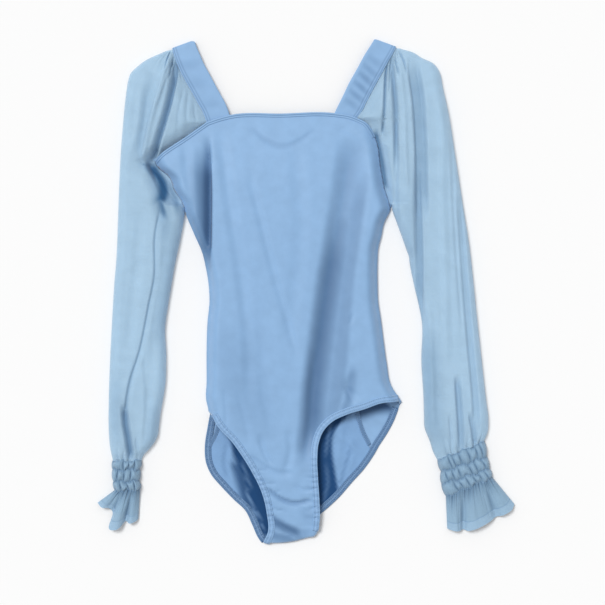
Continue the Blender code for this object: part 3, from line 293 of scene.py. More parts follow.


# Creases of the front, with painted shade along them; rows of depth 0 only paint shade
FRONT_CREASES = [
    down([(172, -128), (137, -127), (97, -127), (60, -127.5), (36, -129)], 26, 2.4, 9, 70),
    down([(176, -128), (137, -126.5), (97, -126.5), (60, -127), (40, -128)], 38, 2.4, 0, 50, 0.76),
    down([(196, -129.5), (178, -128.5), (137, -128), (97, -128), (60, -129)], 11, 2.4, 6, 40, 0.55),
    down([(188, 58), (110, 47.5), (69.5, 40), (29, 32.5), (-52, 22), (-133, 11), (-187, 6.5), (-216, 2)],
         20, 40, 9.0, 56),
    down([(188, 60), (150, 56), (110, 49), (69.5, 41), (29, 33), (-52, 22.5)], 15, 30, 0, 60, 0.3),
    down([(80, 44), (29, 34), (-11, 28), (-52, 22), (-92, 16.5), (-133, 11), (-173, 8), (-210, 2)], 22, 34,
         0, 100, 0.7),
    down([(110, 49), (60, 41), (29, 35), (-11, 29), (-30, 26)], 13, 32, 0, 80, 0.5),
    across([(158, -151), (186, -153), (222, -163)], 20, 12, 0, 10, 0.88, flats=(0.2, 0.3)),
    down([(-90, 12), (-133, 8), (-187, 5), (-218, 0)], 9, 14, 2.6, 44),
    down([(150, 76), (69, 64), (29, 58), (-52, 50), (-133, 42), (-187, 30)], 30, 14, 0, 70, 0.34,
         flats=(0, 0.3)),
    down([(-60, -104), (-92, -98), (-133, -92), (-186, -80)], 34, 60, 0, 80, 0.13, flats=(0, 0.3)),
    down([(-40, -66), (-120, -58), (-190, -44)], 12, 16, 1.4, 60, 0.08),
    down([(-104, 63), (-122, 61), (-146, 57), (-164, 50)], 10, 12, 0, 20, 0.38),
    down([(200, -113), (110, -100.6), (23.6, -87), (-61.5, -77.6), (-133, -75)], 12, 14, 2.2, 60),
    down([(190, -162), (150, -158), (110, -152)], 10, 12, 1.8, 26),
    down([(144, -72), (2, -35.8), (-80, -12.8)], 9, 8, 1.7, 50),
    down([(180, -12), (90, -6), (0, -14), (-60, -22)], 16, 16, 1.2, 50),
    across([(-69.5, 218), (-50, 203), (-30.4, 196.4), (-8, 204), (10.2, 216.6)], 9, 5, 0.9, 24, 0.14),
    across([(40, 222), (62, 214), (82, 196)], 8, 5, 0.8, 18),
    down([(-31, 63), (-43, 60)], 3, 4, 1.4, 9),
    across([(52, -131), (64, -136), (72, -143)], 8, 7, 1.4, 12),
    down([(-118, 58), (-134, 57), (-148, 64)], 7, 7, 2.6, 14),
    down([(-134, -109), (-156, -107), (-178, -106)], 4, 4, 1.3, 16),
    down([(-140, -90), (-170, -82), (-200, -76)], 7, 6, 1.0, 22),
    across([(-73, -222), (-56, -234), (-38, -243), (-20, -244)], 9, 5, 1.8, 14, 0.08),
    down([(-196, -62), (-216, -56), (-232, -48)], 5, 8, 2.2, 14),
    down([(-190, -22), (-214, -20), (-240, -26)], 8, 9, 2.0, 18),
    across([(-50, -266), (-34, -278), (-16, -284), (6, -281)], 8, 3, 3.8, 16, 0.36),
    across([(-66, -238), (-58, -240), (-50, -239)], 2.4, 2, 1.2, 6, 0.14),
    across([(-60, -254), (-52, -257), (-40, -257)], 2.4, 2, 1.3, 6, 0.16),
    across([(-55, -272), (-46, -272), (-34, -268)], 2.2, 2, 1.2, 6, 0.14),
    across([(-50, -286), (-40, -292), (-26, -296)], 2.6, 2, 1.4, 7, 0.16),
    across([(-48, -300), (-40, -305), (-28, -310)], 2.2, 2, 1.2, 6, 0.16),
    across([(4, -250), (10, -251), (17, -250)], 2, 2, 0.9, 5, 0.16),
    across([(2, -263), (9, -265), (17, -264)], 2, 2, 0.9, 5, 0.14),
    across([(4, -290), (10, -291), (17, -289)], 2, 2, 0.9, 5, 0.16),
    across([(2, -304), (9, -306), (17, -304)], 2, 2, 0.9, 5, 0.14),
    across([(-14, -262), (0, -268), (12, -266)], 4, 4, 1.6, 9),
    across([(-64, -302), (-44, -309), (-26, -318), (-6, -327)], 15, 9, 2.6, 18, 0.68, flats=(0.1, 0)),
    across([(-62, -322), (-40, -330), (-16, -334)], 12, 8, 0, 14, 0.46, flats=(0, 0.2)),
    across([(-6, -300), (6, -303), (18, -304)], 18, 14, 0, 14, 0.16),
    across([(-46, -336), (-20, -332), (6, -326)], 4, 10, 0, 16, 0.24, flats=(0, 0.2)),
    across([(-46, -300), (-30, -318), (-12, -330)], 5, 4, 1.8, 12),
    across([(-8, -290), (4, -296), (12, -292)], 4, 4, 1.3, 8),
]

# The long thin fold down the left sleeve, which is both a crease and a line of painted shade
THIN_FOLD = [(106, -197.5), (78, -202.5), (17, -204), (-18, -211), (-79, -223.4), (-120, -236), (-164, -244)]

# Creases of the sleeves' upper side, with painted shade along them; rows of depth 0 only paint shade
SLEEVE_CREASES = {
    "left": [
        down([(312, -172), (299, -173), (272, -177), (245, -183), (218, -191), (190, -200), (176, -205)],
             11, 2.4, 12, 12, 0.62, flats=(0.1, 0)),
        down([(322, -181), (300, -189), (272, -197), (218, -212), (180, -219)], 4, 7, -4.5, 16),
        down([(312, -175.5), (285, -189), (254, -199)], 2, 2.5, -1.6, 14),
        down([(284, -206), (258, -212), (231, -214), (204, -220), (180, -225)], 13, 12, 4.5, 50, 0.2),
        down([(272, -229), (240, -231), (200, -236)], 8, 9, 1.2, 40),
        down([(270, -162), (236, -166), (206, -170)], 26, 26, 0, 60, 0.1, flats=(0, 0.3)),
        down([(173, -211), (162, -206), (150, -200), (137, -194), (120, -188)], 7, 24, 7.5, 5,
             flats=(0, 0.5)),
        down([(170, -200), (160, -196), (150, -190), (138, -184)], 9, 16, 3, 12, flats=(0.1, 0.3)),
        down([(156, -207), (150.5, -205), (129, -198), (114, -195), (96, -193)], 15, 6, 4.5, 20),
        down([(174, -210), (164, -204.5), (150.5, -195), (137, -191.5), (118, -195)], 18, 14, 0, 16, 1.0,
             flats=(0.1, 0.1)),
        down([(144, -191), (128, -196), (112, -192.5), (96, -187)], 13, 9, 0, 26, 0.86),
        down([(140, -192), (110, -193), (80, -190), (60, -190)], 14, 22, 0, 50, 0.4),
        down([(152, -189), (137, -182), (123.5, -175.5), (104, -172)], 10, 9, 0, 26, 0.62),
        across([(-222, 173), (-212.6, 169.5), (-202, 172)], 1.8, 1.6, 1.6, 5, 0.75),
        down([(262, -213), (252, -215), (231.5, -218), (211, -220.7), (191, -222), (164, -221)], 7, 6, 0.8,
             20, 0.26),
        down([(96, -186), (70, -187), (29, -190), (-11, -194), (-66, -199)], 19, 24, 0, 60, 0.25,
             flats=(0, 0.2)),
        down([(-120, -256), (-160, -258), (-200, -256)], 12, 14, 0, 50, 0.26, flats=(0, 0.2)),
        down([(-150, -206), (-190, -210), (-214, -212)], 12, 14, 0, 40, 0.24, flats=(0, 0.2)),
        down([(326, -183), (314, -187), (300, -190)], 1.6, 2.2, 2.6, 8, 0.5),
        down([(319, -178), (306, -181), (290, -184)], 1.5, 2.0, 2.8, 9, 0.6),
        down([(308, -173), (299, -171), (288, -168)], 1.4, 2.2, 2.2, 8, 0.5),
        down([(270, -165), (236, -171), (206, -173)], 3, 3.4, 1.5, 18),
        down([(268, -158), (236, -160), (214, -158)], 4, 4, 1.6, 18),
        down([(252, -150), (238, -149), (226, -146)], 3.5, 3.5, 1.2, 10),
        down(THIN_FOLD, 2.2, 9, 2.6, 22),
        down(THIN_FOLD, 1.9, 1.7, 0, 18, 0.55),
        down([(-100, -232), (-146, -241), (-180, -243), (-206, -240)], 5, 5, 0, 40, 0.42),
        down([(100, -222), (20, -228), (-80, -240)], 10, 12, 1.4, 50),
        down([(60, -188), (-20, -200), (-90, -205), (-160, -210)], 9, 12, 1.6, 40),
        down([(-90, -216), (-150, -213), (-200, -216)], 6, 9, 1.8, 30),
        down([(-158, -244.5), (-174, -243.5), (-207, -238.5), (-224, -237)], 6, 9, 8, 20, 0.72),
        down([(-200, -228), (-214, -227), (-226, -226)], 3, 3, 2.4, 10),
    ],
    "right": [
        down([(309, 111), (299, 109.5), (272, 107.6), (245, 106.5), (214, 104)], 3.2, 2.2, 6.5, 12, 0.6),
        down([(312, 115.5), (290, 113.6), (270, 112.6)], 1.6, 1.8, 2.2, 12, 0.4),
        down([(312, 116.8), (285, 119), (245, 122), (210, 122.5), (180, 123)], 6.5, 4, 8, 60, 0.5),
        down([(190, 122.5), (140, 122), (90, 124)], 6, 5, 2.4, 40, 0.1),
        down([(216, 95), (204, 98), (191, 101), (171, 104.5), (140, 109)], 7, 5, 3, 12, 0.84,
             flats=(0.2, 0)),
        down([(300, 127), (272, 130.5), (240, 133), (200, 134), (140, 137)], 5, 5, -2.0, 30),
        down([(268, 92), (244, 92), (222, 96)], 16, 16, 0, 24, 0.14, flats=(0, 0.3)),
        down([(314, 121), (303, 123), (293, 125.5)], 1.6, 2.4, 3.5, 8, 0.45),
        down([(324, 127), (312, 132), (296, 136)], 1.8, 2.4, 2.6, 10, 0.4),
        down([(296, 140), (258, 145), (231, 147), (191, 149), (137, 150), (110, 151)], 3.4, 17, 8.0, 60,
             0.4, flats=(0, 0.6)),
        down([(150, 154), (60, 156.5), (0, 157.5), (-30, 158)], 12, 2.6, 5.5, 84, 0.46, flats=(0.4, 0)),
        down([(130, 138), (60, 144), (20, 150)], 15, 15, 0, 60, 0.22, flats=(0, 0.3)),
        down([(-60, 164), (-120, 168), (-170, 170), (-206, 174)], 16, 24, 0, 70, 0.36, flats=(0.1, 0.2)),
        down([(80, 212), (20, 212), (-60, 218)], 6, 9, 0, 60, 0.14),
        down([(-140, 205), (-186, 208), (-212, 210)], 9, 12, 0, 40, 0.24),
        down([(299, 150), (272, 156), (240, 160)], 5, 6, 1.6, 26),
        down([(258, 178), (231, 182), (137, 184), (2, 188), (-80, 190)], 8, 9, -2.0, 60),
        down([(210, 196), (137, 199), (30, 205), (-40, 210)], 5, 6, 2.2, 60),
        down([(120, 206), (2, 214), (-80, 221), (-146, 227), (-186, 229)], 5, 8, 4.5, 50, 0.2,
             flats=(0, 0.3)),
        down([(-20, 172), (-110, 176), (-180, 178)], 8, 8, 1.4, 40),
        down([(-120, 203), (-150, 205), (-180, 207), (-214, 209)], 4, 8, 6.5, 22, 0.3, flats=(0, 0.2)),
        down([(-170, 194), (-192, 196), (-214, 198)], 3, 4, 2.2, 14),
        down([(-168, 221), (-190, 225), (-206, 227)], 3, 7, 5, 14, 0.3, flats=(0, 0.2)),
        down([(60, 137), (0, 152), (-60, 162), (-140, 166)], 6, 8, 1.3, 40),
    ]}

# Soft wrinkles on the inside of the back, where it shows through the leg openings, with painted shadow
# in the openings beside the front's edges and a few painted lighter streaks on ridges
BACK_CREASES = [
    down([(-176, 50), (-200, 47), (-240, 42)], 10, 9, -1.8, 24),
    across([(44, -196), (60, -206), (78, -222)], 6, 9, -1.8, 14),
    across([(48, -222), (60, -228), (72, -240)], 5, 7, -1.5, 12),
    down([(-196, 60), (-220, 64), (-246, 56)], 5, 8, -1.6, 14),
    down([(-200, -98), (-236, -102), (-262, -96)], 8, 7, -2.2, 22),
    down([(-240, -92), (-270, -86), (-300, -76)], 5, 7, -1.6, 18),
    down([(-158, 64), (-170, 50), (-180, 40), (-195, 32), (-214, 30.5), (-241, 34), (-284, 41), (-304, 42)],
         34, 9, 0, 8, 1.0, flats=(0.6, 0.3)),
    across([(70, -150), (100, -147), (132, -141)], 10, 16, 0, 20, 0.95, flats=(0.1, 0.5)),
    across([(70, -166), (100, -163), (128, -156)], 17, 20, 0, 24, 0.42, flats=(0, 0.4)),
    down([(-232, -94), (-255, -87), (-282, -80), (-306, -70)], 14, 12, 0, 14, 0.88, flats=(0.1, 0.2)),
    down([(-180, -114), (-200, -99), (-228, -90), (-255, -79), (-282, -71), (-306, -63), (-332, -56)], 9,
         30, 0, 10, 1.0, flats=(0.2, 0.6)),
    down([(-178, 34), (-200, 30), (-222, 27)], 3, 5, -1.0, 16, -0.3),
    down([(-236, 28), (-262, 30), (-284, 24)], 4, 5, -1.0, 20, -0.22),
    down([(-232, -86), (-250, -80), (-266, -74)], 3, 5, -1.2, 14, -0.3),
    down([(-272, -80), (-290, -72), (-308, -66)], 3, 4, -1.2, 14, -0.45),
    down([(-296, -66), (-312, -60), (-326, -56)], 2, 3, -1.0, 10, -0.4),
    down([(-214, 60), (-240, 52), (-262, 46)], 3, 6, 0, 10, 0.3),
    down([(-206, -108), (-232, -112), (-250, -108)], 4, 7, 0, 12, 0.22),
    down([(-262, -92), (-290, -82), (-306, -74)], 3, 5, 0, 10, 0.4),
]

# Ripples beside the leg hems: up to which y on either side, and how long, wide and deep they are
PUCKER_TOPS = (-222, -203)
PUCKER_PITCH = 8.2
PUCKER_REACH = 15.0
PUCKER_FADE = 30.0
PUCKER_DEPTH = 0.55

# Soft waves of loose cloth: how many cross, how their directions and lengths differ, how high they are, how
# much higher on the sleeves, and where they start
EASE_COUNT = 5
EASE_TURN = 2.4
EASE_PITCH = 19.0
EASE_PITCH_STEP = 11.0
EASE_WAVE = 0.1
SLEEVE_EASE = 3.6
FRONT_SEED = 0.7
SLEEVE_SEEDS = {"left": 1.3, "right": 4.1}

# Bindings and leg hems
BAND_COLUMNS = 16
BAND_SHARES = np.arange(BAND_COLUMNS + 1) / BAND_COLUMNS
BAND_PITCH = 1.1
BINDING_WIDTH = 5.4
BINDING_RISE = 1.25
BINDING_GROOVE = 0.45
BINDING_RIBS = 0.1
RIB_PITCH = 2.6
HEM_WIDTH = 9.0
HEM_RISE = 0.95
HEM_START = 2
HEM_WAVES = (6.1, 4.3)
PUCKER = 0.28

# Side seams on the inside
SEAM_COLUMNS = 8
SEAM_WIDTH = 5.5
SEAM_RISE = 0.8
SEAM_BASE = 1.2

# Stitches: (pitch, length, radius) of each kind, where their rows lie, and how far they press the cloth in
HEM_STITCH = (2.6, 1.9, 0.26)
ZIGZAG_STITCH = (1.7, 0.9, 0.2)
STRAP_STITCH = (2.9, 2.2, 0.24)
SEAM_STITCH = (2.4, 1.7, 0.24)
ELASTIC_STITCH = (2.1, 1.3, 0.24)
STITCH_ROWS = (0.25, 0.75)
STRAP_STITCHES = (2.2, 5.4)
STITCH_DIP = 0.22
SEAM_DIP = 0.3
SEAM_DIP_WIDTH = 0.55
ZIGZAG_SWAY = 0.9
THREAD_LIFT = 0.1
ZIGZAG_LIFT = 0.08
ELASTIC_LIFT = 0.12

# Form of one stitch: (share of its length, girth), and how many sides it has
STITCH_SHAPE = ((0.0, 0.25), (0.16, 1.0), (0.84, 1.0), (1.0, 0.25))
STITCH_SIDES = 5

# Colours
BODY_COLOUR = (0.25, 0.425, 0.67)
# Inner face of the knit: a little darker than the outer face, partly its own tone, partly painted shade for
# the garment's inside
INSIDE_COLOUR = (0.215, 0.38, 0.63)
THREAD_COLOUR = (0.34, 0.52, 0.78)
SHEER_COLOUR = (0.455, 0.665, 0.855)
# Shirred mesh: darker than the sleeves' mesh, partly as gathered mesh lies thicker, partly painted shade of
# the gathers
SHIRRED_COLOUR = (0.3, 0.465, 0.625)
FLOOR_COLOUR = (0.9, 0.9, 0.9, 1)

# Painted shade on the cloth, from 0 to 1, and what painted shade does to its colour and cover
PUFF_SHADE = 0.12
GATHER_SHADE = 0.72
RUFFLE_SHADE = 0.45
HEM_SHADE = 0.2
HEM_LINE_SHADE = 0.4
ROW_SHADE = 0.5
UNDER_SHADE = 0.54
SEAM_SHADE = 0.6
STRAP_SHADE = 0.17
SHADE_TINT = (0.05, 0.16, 0.28)
SHADE_COVER = 0.5

# Threads of the cloth, in metres: turns of a wave texture in its own scale, and pitch and depth of the bump
WAVE_TURNS = 0.314
KNIT_BUMP = 0.00006
MESH_PITCH = 0.0011
MESH_BUMP = 0.00005

# How the cover of the mesh falls in its holes and rises on its threads
HOLE_COVER = 0.22
THREAD_COVER = 0.14

# Change of colour from place to place, and its scale on knit and on mesh
TINT_CHANGE = 0.04
KNIT_TINT_SCALE = 60.0
MESH_TINT_SCALE = 45.0

# Inputs of a colour mix: how much, and the two colours
MIX_INPUTS = (0, 6, 7)

# Fine wrinkles across the sleeves
WRINKLE_SCALE = (55.0, 330.0, 1.0)
WRINKLE_DEPTH = 0.0007

# Floor and light
STAGE_SIZE = 8.0
WORLD_LIGHT = 0.55
SUN_FROM = (-0.45, 0.48, 1.1)
SUN_POWER = 1.95
SUN_SPREAD = 22.0

# The camera straight above, framing the photo's width of the scene
LENS = 85.0
SENSOR = 36.0
PHOTO_WIDTH = 816.75
PHOTO_CENTRE = (-4.0, -14.9)
MID_HEIGHT = 10.0


def unit(vectors):
    """Vectors of length 1 in the same directions."""
    return vectors / np.linalg.norm(vectors, axis=-1)[..., None]


def bell(at, middle, width):
    """A soft bump: 1 in the middle, falling away to both sides."""
    return np.exp(-((at - middle) / width) ** 2)


def turned(path):
    """The same path with its two columns the other way round."""
    return [(row[1], row[0]) for row in path]


def smooth(table, at):
    """Reads a smooth curve through the table's (input, output) rows."""
    keys, values = np.array(sorted(table), dtype=float).T
    slopes = np.gradient(values, keys)
    at = np.clip(at, keys[0], keys[-1])
    row = np.clip(np.searchsorted(keys, at, side="right") - 1, 0, len(keys) - 2)
    span = keys[row + 1] - keys[row]
    t = (at - keys[row]) / span
    start = values[row] * (1 + 2 * t) * (1 - t) ** 2 + slopes[row] * span * t * (1 - t) ** 2
    end = values[row + 1] * t * t * (3 - 2 * t) + slopes[row + 1] * span * t * t * (t - 1)
    return start + end


def fade_in(value, width):
    """Rises smoothly from 0 to 1 while the value goes from 0 to the width."""
    t = np.clip(value / width, 0.0, 1.0)
    return t * t * (3 - 2 * t)


def quarter_round(distance, radius):
    """Rises like a quarter circle from 0 at the edge to 1 at the radius."""
    return np.sqrt(1 - (1 - np.clip(distance / radius, 0.0, 1.0)) ** 2)


def run_length(path):
    """Distance along a path at each of its points."""
    return np.concatenate([[0], np.cumsum(np.linalg.norm(np.diff(path, axis=0), axis=1))])


def resample(path, step):
    """Places points about a step apart on a smooth curve through the path's points."""
    path = np.array(path, dtype=float)
    run = run_length(path)
    count = max(2, int(round(run[-1] / step)) + 1)
    at = np.linspace(0, run[-1], count)
    return np.column_stack([smooth(list(zip(run, path[:, axis])), at) for axis in range(path.shape[1])])


def crease_shape(crease, x, y):
    """How far a place is down one crease, from 0 to 1: each flank has its own width and flat share."""
    along, across_it = (y, x) if crease.way == "down" else (x, y)
    keys = [row[0] for row in crease.path]
    off = across_it - smooth(crease.path, along)
    share = np.where(off < 0, -off / crease.low, off / crease.high)
    flat = np.where(off < 0, crease.flats[0], crease.flats[1])
    share = np.clip((share - flat) / (1 - flat), 0, 1)
    fade = crease.fade
    ends = fade_in(max(keys) + fade / 2 - along, fade) * fade_in(along - min(keys) + fade / 2, fade)
    return (0.5 + 0.5 * np.cos(math.pi * share)) * ends


def crease_depth(crease, x, y):
    """Depth of one crease at a place."""
    return crease.depth * crease_shape(crease, x, y)


def shade_of(creases, x, y):
    """Painted shade at a place, from 0 to 1, from the creases; a dark value below 0 lessens it."""
    total, raised = np.zeros(np.shape(x)), np.zeros(np.shape(x))
    for crease in creases:
        if crease.dark > 0:
            total = np.maximum(total, crease.dark * crease_shape(crease, x, y))
        if crease.dark < 0:
            raised = np.maximum(raised, -crease.dark * crease_shape(crease, x, y))
    return total * (1 - raised)


def ease(x, y, seed):
    """Small soft waves of cloth that lies loose, from a few crossed sine waves."""
    total = 0.0
    for number in range(EASE_COUNT):
        angle = seed + number * EASE_TURN
        pitch = EASE_PITCH + EASE_PITCH_STEP * number
        along = x * math.cos(angle) + y * math.sin(angle)
        total = total + np.sin(2 * math.pi * along / pitch + seed * number)
    return EASE_WAVE * total / 2


def hem_puckers(x, y):
    """Short ripples beside the leg hems near the crotch, where the elastic draws the cloth in."""
    total = 0.0
    for edge, side, top in ((LEFT_LEG, 1, PUCKER_TOPS[0]), (RIGHT_LEG, -1, PUCKER_TOPS[1])):
        lower = turned([row for row in edge if row[1] < top])
        off = (x - smooth(lower, y)) * side
        wave = np.sin(2 * math.pi * y / PUCKER_PITCH + 1.3 * np.sin(y / 8.0 + side) + side)
        total = total + wave * bell(off, 0, PUCKER_REACH) * fade_in(top - y, PUCKER_FADE)
    return PUCKER_DEPTH * total


def front_height(x, y):
    """Height of the front's outer face above the floor."""
    inward = np.minimum(x - smooth(LEFT_FOLD, y), smooth(RIGHT_FOLD, y) - x)
    crown = smooth(FRONT_CROWN, y)
    low = 2 * SIDE_ROLL
    height = low + (crown - low) * np.sin(math.pi / 2 * np.clip((inward - SIDE_ROLL) / CROWN_RUN, 0, 1))
    room = fade_in(inward - SIDE_ROLL, SIDE_FADE)
    for crease in FRONT_CREASES:
        height = height - crease_depth(crease, x, y) * room
    height = height + ease(x, y, FRONT_SEED) * room - hem_puckers(x, y)
    height = np.maximum(height, MIN_HEIGHT)
    above = y - smooth(CROTCH, np.clip(x, CROTCH[0][0], CROTCH[-1][0]))
    lowest = 2 * KNIT_WALL + 2 * SEAM_GAP
    edge = quarter_round(above, CROTCH_ROLL)
    return np.where(above < CROTCH_ROLL, lowest + (height - lowest) * edge, height)


def front_point(place, y):
    """Places points of the front's cloth: over the top, round the side folds, or underneath them."""
    right = smooth(RIGHT_FOLD, y) - SIDE_ROLL
    left = smooth(LEFT_FOLD, y) + SIDE_ROLL
    half_turn = math.pi * SIDE_ROLL
    side = np.where(place > right, 1.0, np.where(place < left, -1.0, 0.0))
    past = np.where(side > 0, place - right, np.where(side < 0, left - place, 0.0))
    angle = np.clip(past / SIDE_ROLL, 0, math.pi)
    under = np.maximum(past - half_turn, 0)
    start = np.where(side > 0, right, left)
    x = np.where(side == 0, place, start + side * (SIDE_ROLL * np.sin(angle) - under))
    z = np.where(side == 0, front_height(place, y), SIDE_ROLL + SIDE_ROLL * np.cos(angle))
    return np.stack([x, y, z], axis=-1)


def under_right(x, y):
    """Position across the front's cloth of a point on its underside, right of the middle."""
    return 2 * (smooth(RIGHT_FOLD, y) - SIDE_ROLL) + math.pi * SIDE_ROLL - x


def under_left(x, y):
    """Position across the front's cloth of a point on its underside, left of the middle."""
    return 2 * (smooth(LEFT_FOLD, y) + SIDE_ROLL) - math.pi * SIDE_ROLL - x


def sewn_edge(side, layer, y):
    """X of the edge that a sleeve is sewn to: strap, slanted neckline, then the side of the layer."""
    is_left = side == "left"
    if layer == "front":
        neck = NECKLINE[:4] if is_left else [RIGHT_APEX] + NECKLINE[9:]
        below = LEFT_FOLD if is_left else RIGHT_FOLD
    else:
        neck = BACK_NECKLINE[:4] if is_left else BACK_NECKLINE[7:]
        below = turned(BACK_TOP_LEFT if is_left else BACK_TOP_RIGHT)
    corner, apex = (neck[0], neck[3]) if is_left else (neck[-1], neck[0])
    if y > apex[1]:
        return float(smooth([row[:2] for row in STRAPS[side]] + turned([apex]), y))
    return float(smooth(turned(neck) if y > corner[1] else below, y))


def seam_points(side, layer, low, high):
    """Points of a front or back armhole edge, from its top down."""
    count = max(2, int((high - low) / EDGE_STEP))
    return [(sewn_edge(side, layer, y), y) for y in np.linspace(high, low, count)]


def front_neck():
    """The front's neckline from right to left: slanted ends at the sleeves, nearly straight between."""
    left = seam_points("left", "front", NECKLINE[0][1], NECKLINE[3][1])
    right = seam_points("right", "front", NECKLINE[-1][1], RIGHT_APEX[1])
    middle = resample([point for point in NECKLINE if left[0][0] <= point[0] < right[0][0]]
                      + [RIGHT_APEX], EDGE_STEP)
    return np.vstack([right[::-1], middle[::-1][1:-1], left])


def front_edges():
    """The front's outline in its own cloth, as named runs of (across, y) points, anticlockwise."""
    quarter = SIDE_ROLL * (math.pi / 2 - 1)
    left_side = seam_points("left", "front", LEFT_UNDERARM_Y, NECKLINE[0][1] - 1)
    right_side = seam_points("right", "front", RIGHT_UNDERARM_Y, NECKLINE[-1][1] - 1)
    left_side.append((float(smooth(LEFT_FOLD, LEFT_UNDERARM_Y)), LEFT_UNDERARM_Y))
    right_side.append((float(smooth(RIGHT_FOLD, RIGHT_UNDERARM_Y)), RIGHT_UNDERARM_Y))
    left_seam = [(under_left(x, y), y) for x, y in resample(turned(LEFT_SEAM), SEAM_STEP)]
    right_seam = [(under_right(x, y), y) for x, y in resample(turned(RIGHT_SEAM), SEAM_STEP)]
    left_under = [(under_left(x, y), y) for x, y in LEFT_LEG_UNDER]
    right_under = [(under_right(x, y), y) for x, y in RIGHT_LEG_UNDER]
    return dict(neck=front_neck(),
                left_armhole=np.array([(x - quarter, y) for x, y in left_side]),
                left_seam=np.array(left_seam), left_under=np.array(left_under[::-1]),
                left_leg=resample(LEFT_LEG, EDGE_STEP), crotch=resample(CROTCH, EDGE_STEP),
                right_leg=resample(RIGHT_LEG, EDGE_STEP)[::-1], right_under=np.array(right_under),
                right_seam=np.array(right_seam[::-1]),
                right_armhole=np.array([(x + quarter, y) for x, y in right_side[::-1]]))


def back_edges():
    """The back's outline on the floor, as named runs of (x, y) points, anticlockwise."""
    left_seam = [(x + SEAM_GAP, y) for x, y in resample(turned(LEFT_SEAM), SEAM_STEP)
                 if y < LEFT_UNDERARM_TURN[0][1] - TURN_ROOM]
    right_seam = [(x - SEAM_GAP, y) for x, y in resample(turned(RIGHT_SEAM), SEAM_STEP)
                  if y < RIGHT_UNDERARM_TURN[0][1] - TURN_ROOM]
    left = seam_points("left", "back", BACK_NECKLINE[0][1], BACK_NECKLINE[3][1] - 1)
    right = seam_points("right", "back", BACK_NECKLINE[-1][1], BACK_NECKLINE[7][1] - 1)
    neck = np.vstack([right[::-1], resample(BACK_NECKLINE[3:8], EDGE_STEP)[::-1], left])
    left_side = seam_points("left", "back", BACK_TOP_LEFT[0][1] - 2, BACK_NECKLINE[0][1] - 1)
    right_side = seam_points("right", "back", BACK_TOP_RIGHT[-1][1] - 2, BACK_NECKLINE[-1][1] - 1)
    return dict(neck=neck, left_side=np.array(left_side + LEFT_UNDERARM_TURN[::-1]),
                left_seam=np.array(left_seam), left_leg=resample(LEFT_LEG_BACK, EDGE_STEP),
                crotch=resample(CROTCH, EDGE_STEP), right_leg=resample(RIGHT_LEG_BACK[::-1], EDGE_STEP),
                right_seam=np.array(right_seam[::-1]),
                right_side=np.array(RIGHT_UNDERARM_TURN + right_side[::-1]))


def under_leg_edges():
    """Left and right leg edges on the underside: over the front's turned-under cloth and the back."""
    left = resample(LEFT_LEG_UNDER + LEFT_LEG_BACK[1:], EDGE_STEP)
    right = resample((RIGHT_LEG_UNDER + RIGHT_LEG_BACK[1:])[::-1], EDGE_STEP)
    return left, right


def back_height(x, y):
    """Height of the back's inner face above the floor: flat, with soft wrinkles."""
    height = np.full(np.shape(x), KNIT_WALL)
    for crease in BACK_CREASES:
        height = height - crease_depth(crease, x, y)
    return height


def join_runs(runs):
    """Joins runs of points into one closed outline, without points that fall together."""
    outline = []
    for run in runs:
        for point in run:
            if not outline or np.linalg.norm(np.array(point) - outline[-1]) > MERGE_DISTANCE:
                outline.append(np.array(point, dtype=float))
    if np.linalg.norm(outline[0] - outline[-1]) < MERGE_DISTANCE:
        outline.pop()
    return np.array(outline)


def inside(points, outline):
    """Says which points lie inside a closed outline, by counting the edges that a ray crosses."""
    crossed = np.zeros(len(points), dtype=bool)
    for (x0, y0), (x1, y1) in zip(outline, np.roll(outline, -1, axis=0)):
        if y0 == y1:
            continue
        spans = (points[:, 1] > min(y0, y1)) & (points[:, 1] <= max(y0, y1))
        crossed ^= spans & (points[:, 0] < x0 + (points[:, 1] - y0) / (y1 - y0) * (x1 - x0))
    return crossed


def clear_of(points, others, room):
    """Keeps the points that are at least the room away from the others."""
    keep = [np.min(np.linalg.norm(others - point, axis=1)) >= room for point in points]
    return points[np.array(keep, dtype=bool)]


def lattice(outline, step):
    """Points in staggered rows that cover an outline's box."""
    low, high = outline.min(axis=0), outline.max(axis=0)
    rows = np.arange(low[1], high[1], step * math.sqrt(3) / 2)
    points = [(x + (step / 2 if index % 2 else 0), y)
              for index, y in enumerate(rows) for x in np.arange(low[0], high[0], step)]
    return np.array(points)


def inset(run, width):
    """Moves a run of edge points to the left of its direction by the width."""
    run = np.array(run, dtype=float)
    along = unit(np.gradient(run, axis=0))
    return run + width * np.column_stack([-along[:, 1], along[:, 0]])


def fill(outline, chains, step):
    """Fills an outline with triangles whose edges follow the chains, over a lattice of points."""
    dense = resample(np.vstack([outline, outline[:1]]), step / 2)
    points, count = [outline], len(outline)
    edges = [(index, (index + 1) % count) for index in range(count)]
    for chain in chains:
        chain = np.array(chain, dtype=float)
        to_edge = np.array([np.min(np.linalg.norm(dense - point, axis=1)) for point in chain])
        keep = inside(chain, outline) & (to_edge >= step * NEAR_EDGE)
        numbers = np.where(keep, np.cumsum(keep) - 1 + count, -1)
        edges += [(int(one), int(two)) for one, two in zip(numbers, numbers[1:]) if one >= 0 and two >= 0]
        points.append(chain[keep])
        count += int(keep.sum())
    taken = np.vstack([dense] + points[1:])
    grid = lattice(outline, step)
    grid = clear_of(grid[inside(grid, outline)], taken, step * LATTICE_ROOM)
    flat = np.vstack(points + [grid])
    made = delaunay_2d_cdt([Vector(point) for point in flat], edges, [], 1, 1e-3)
    return np.array([tuple(point) for point in made[0]]), [tuple(face) for face in made[2]]


def strip_faces(rows, columns, closed_columns):
    """Quads between rows of points, with the columns closed into a ring or left open."""
    last = columns if closed_columns else columns - 1
    return [(row * columns + column, row * columns + (column + 1) % columns,
             (row + 1) * columns + (column + 1) % columns, (row + 1) * columns + column)
            for row in range(rows - 1) for column in range(last)]


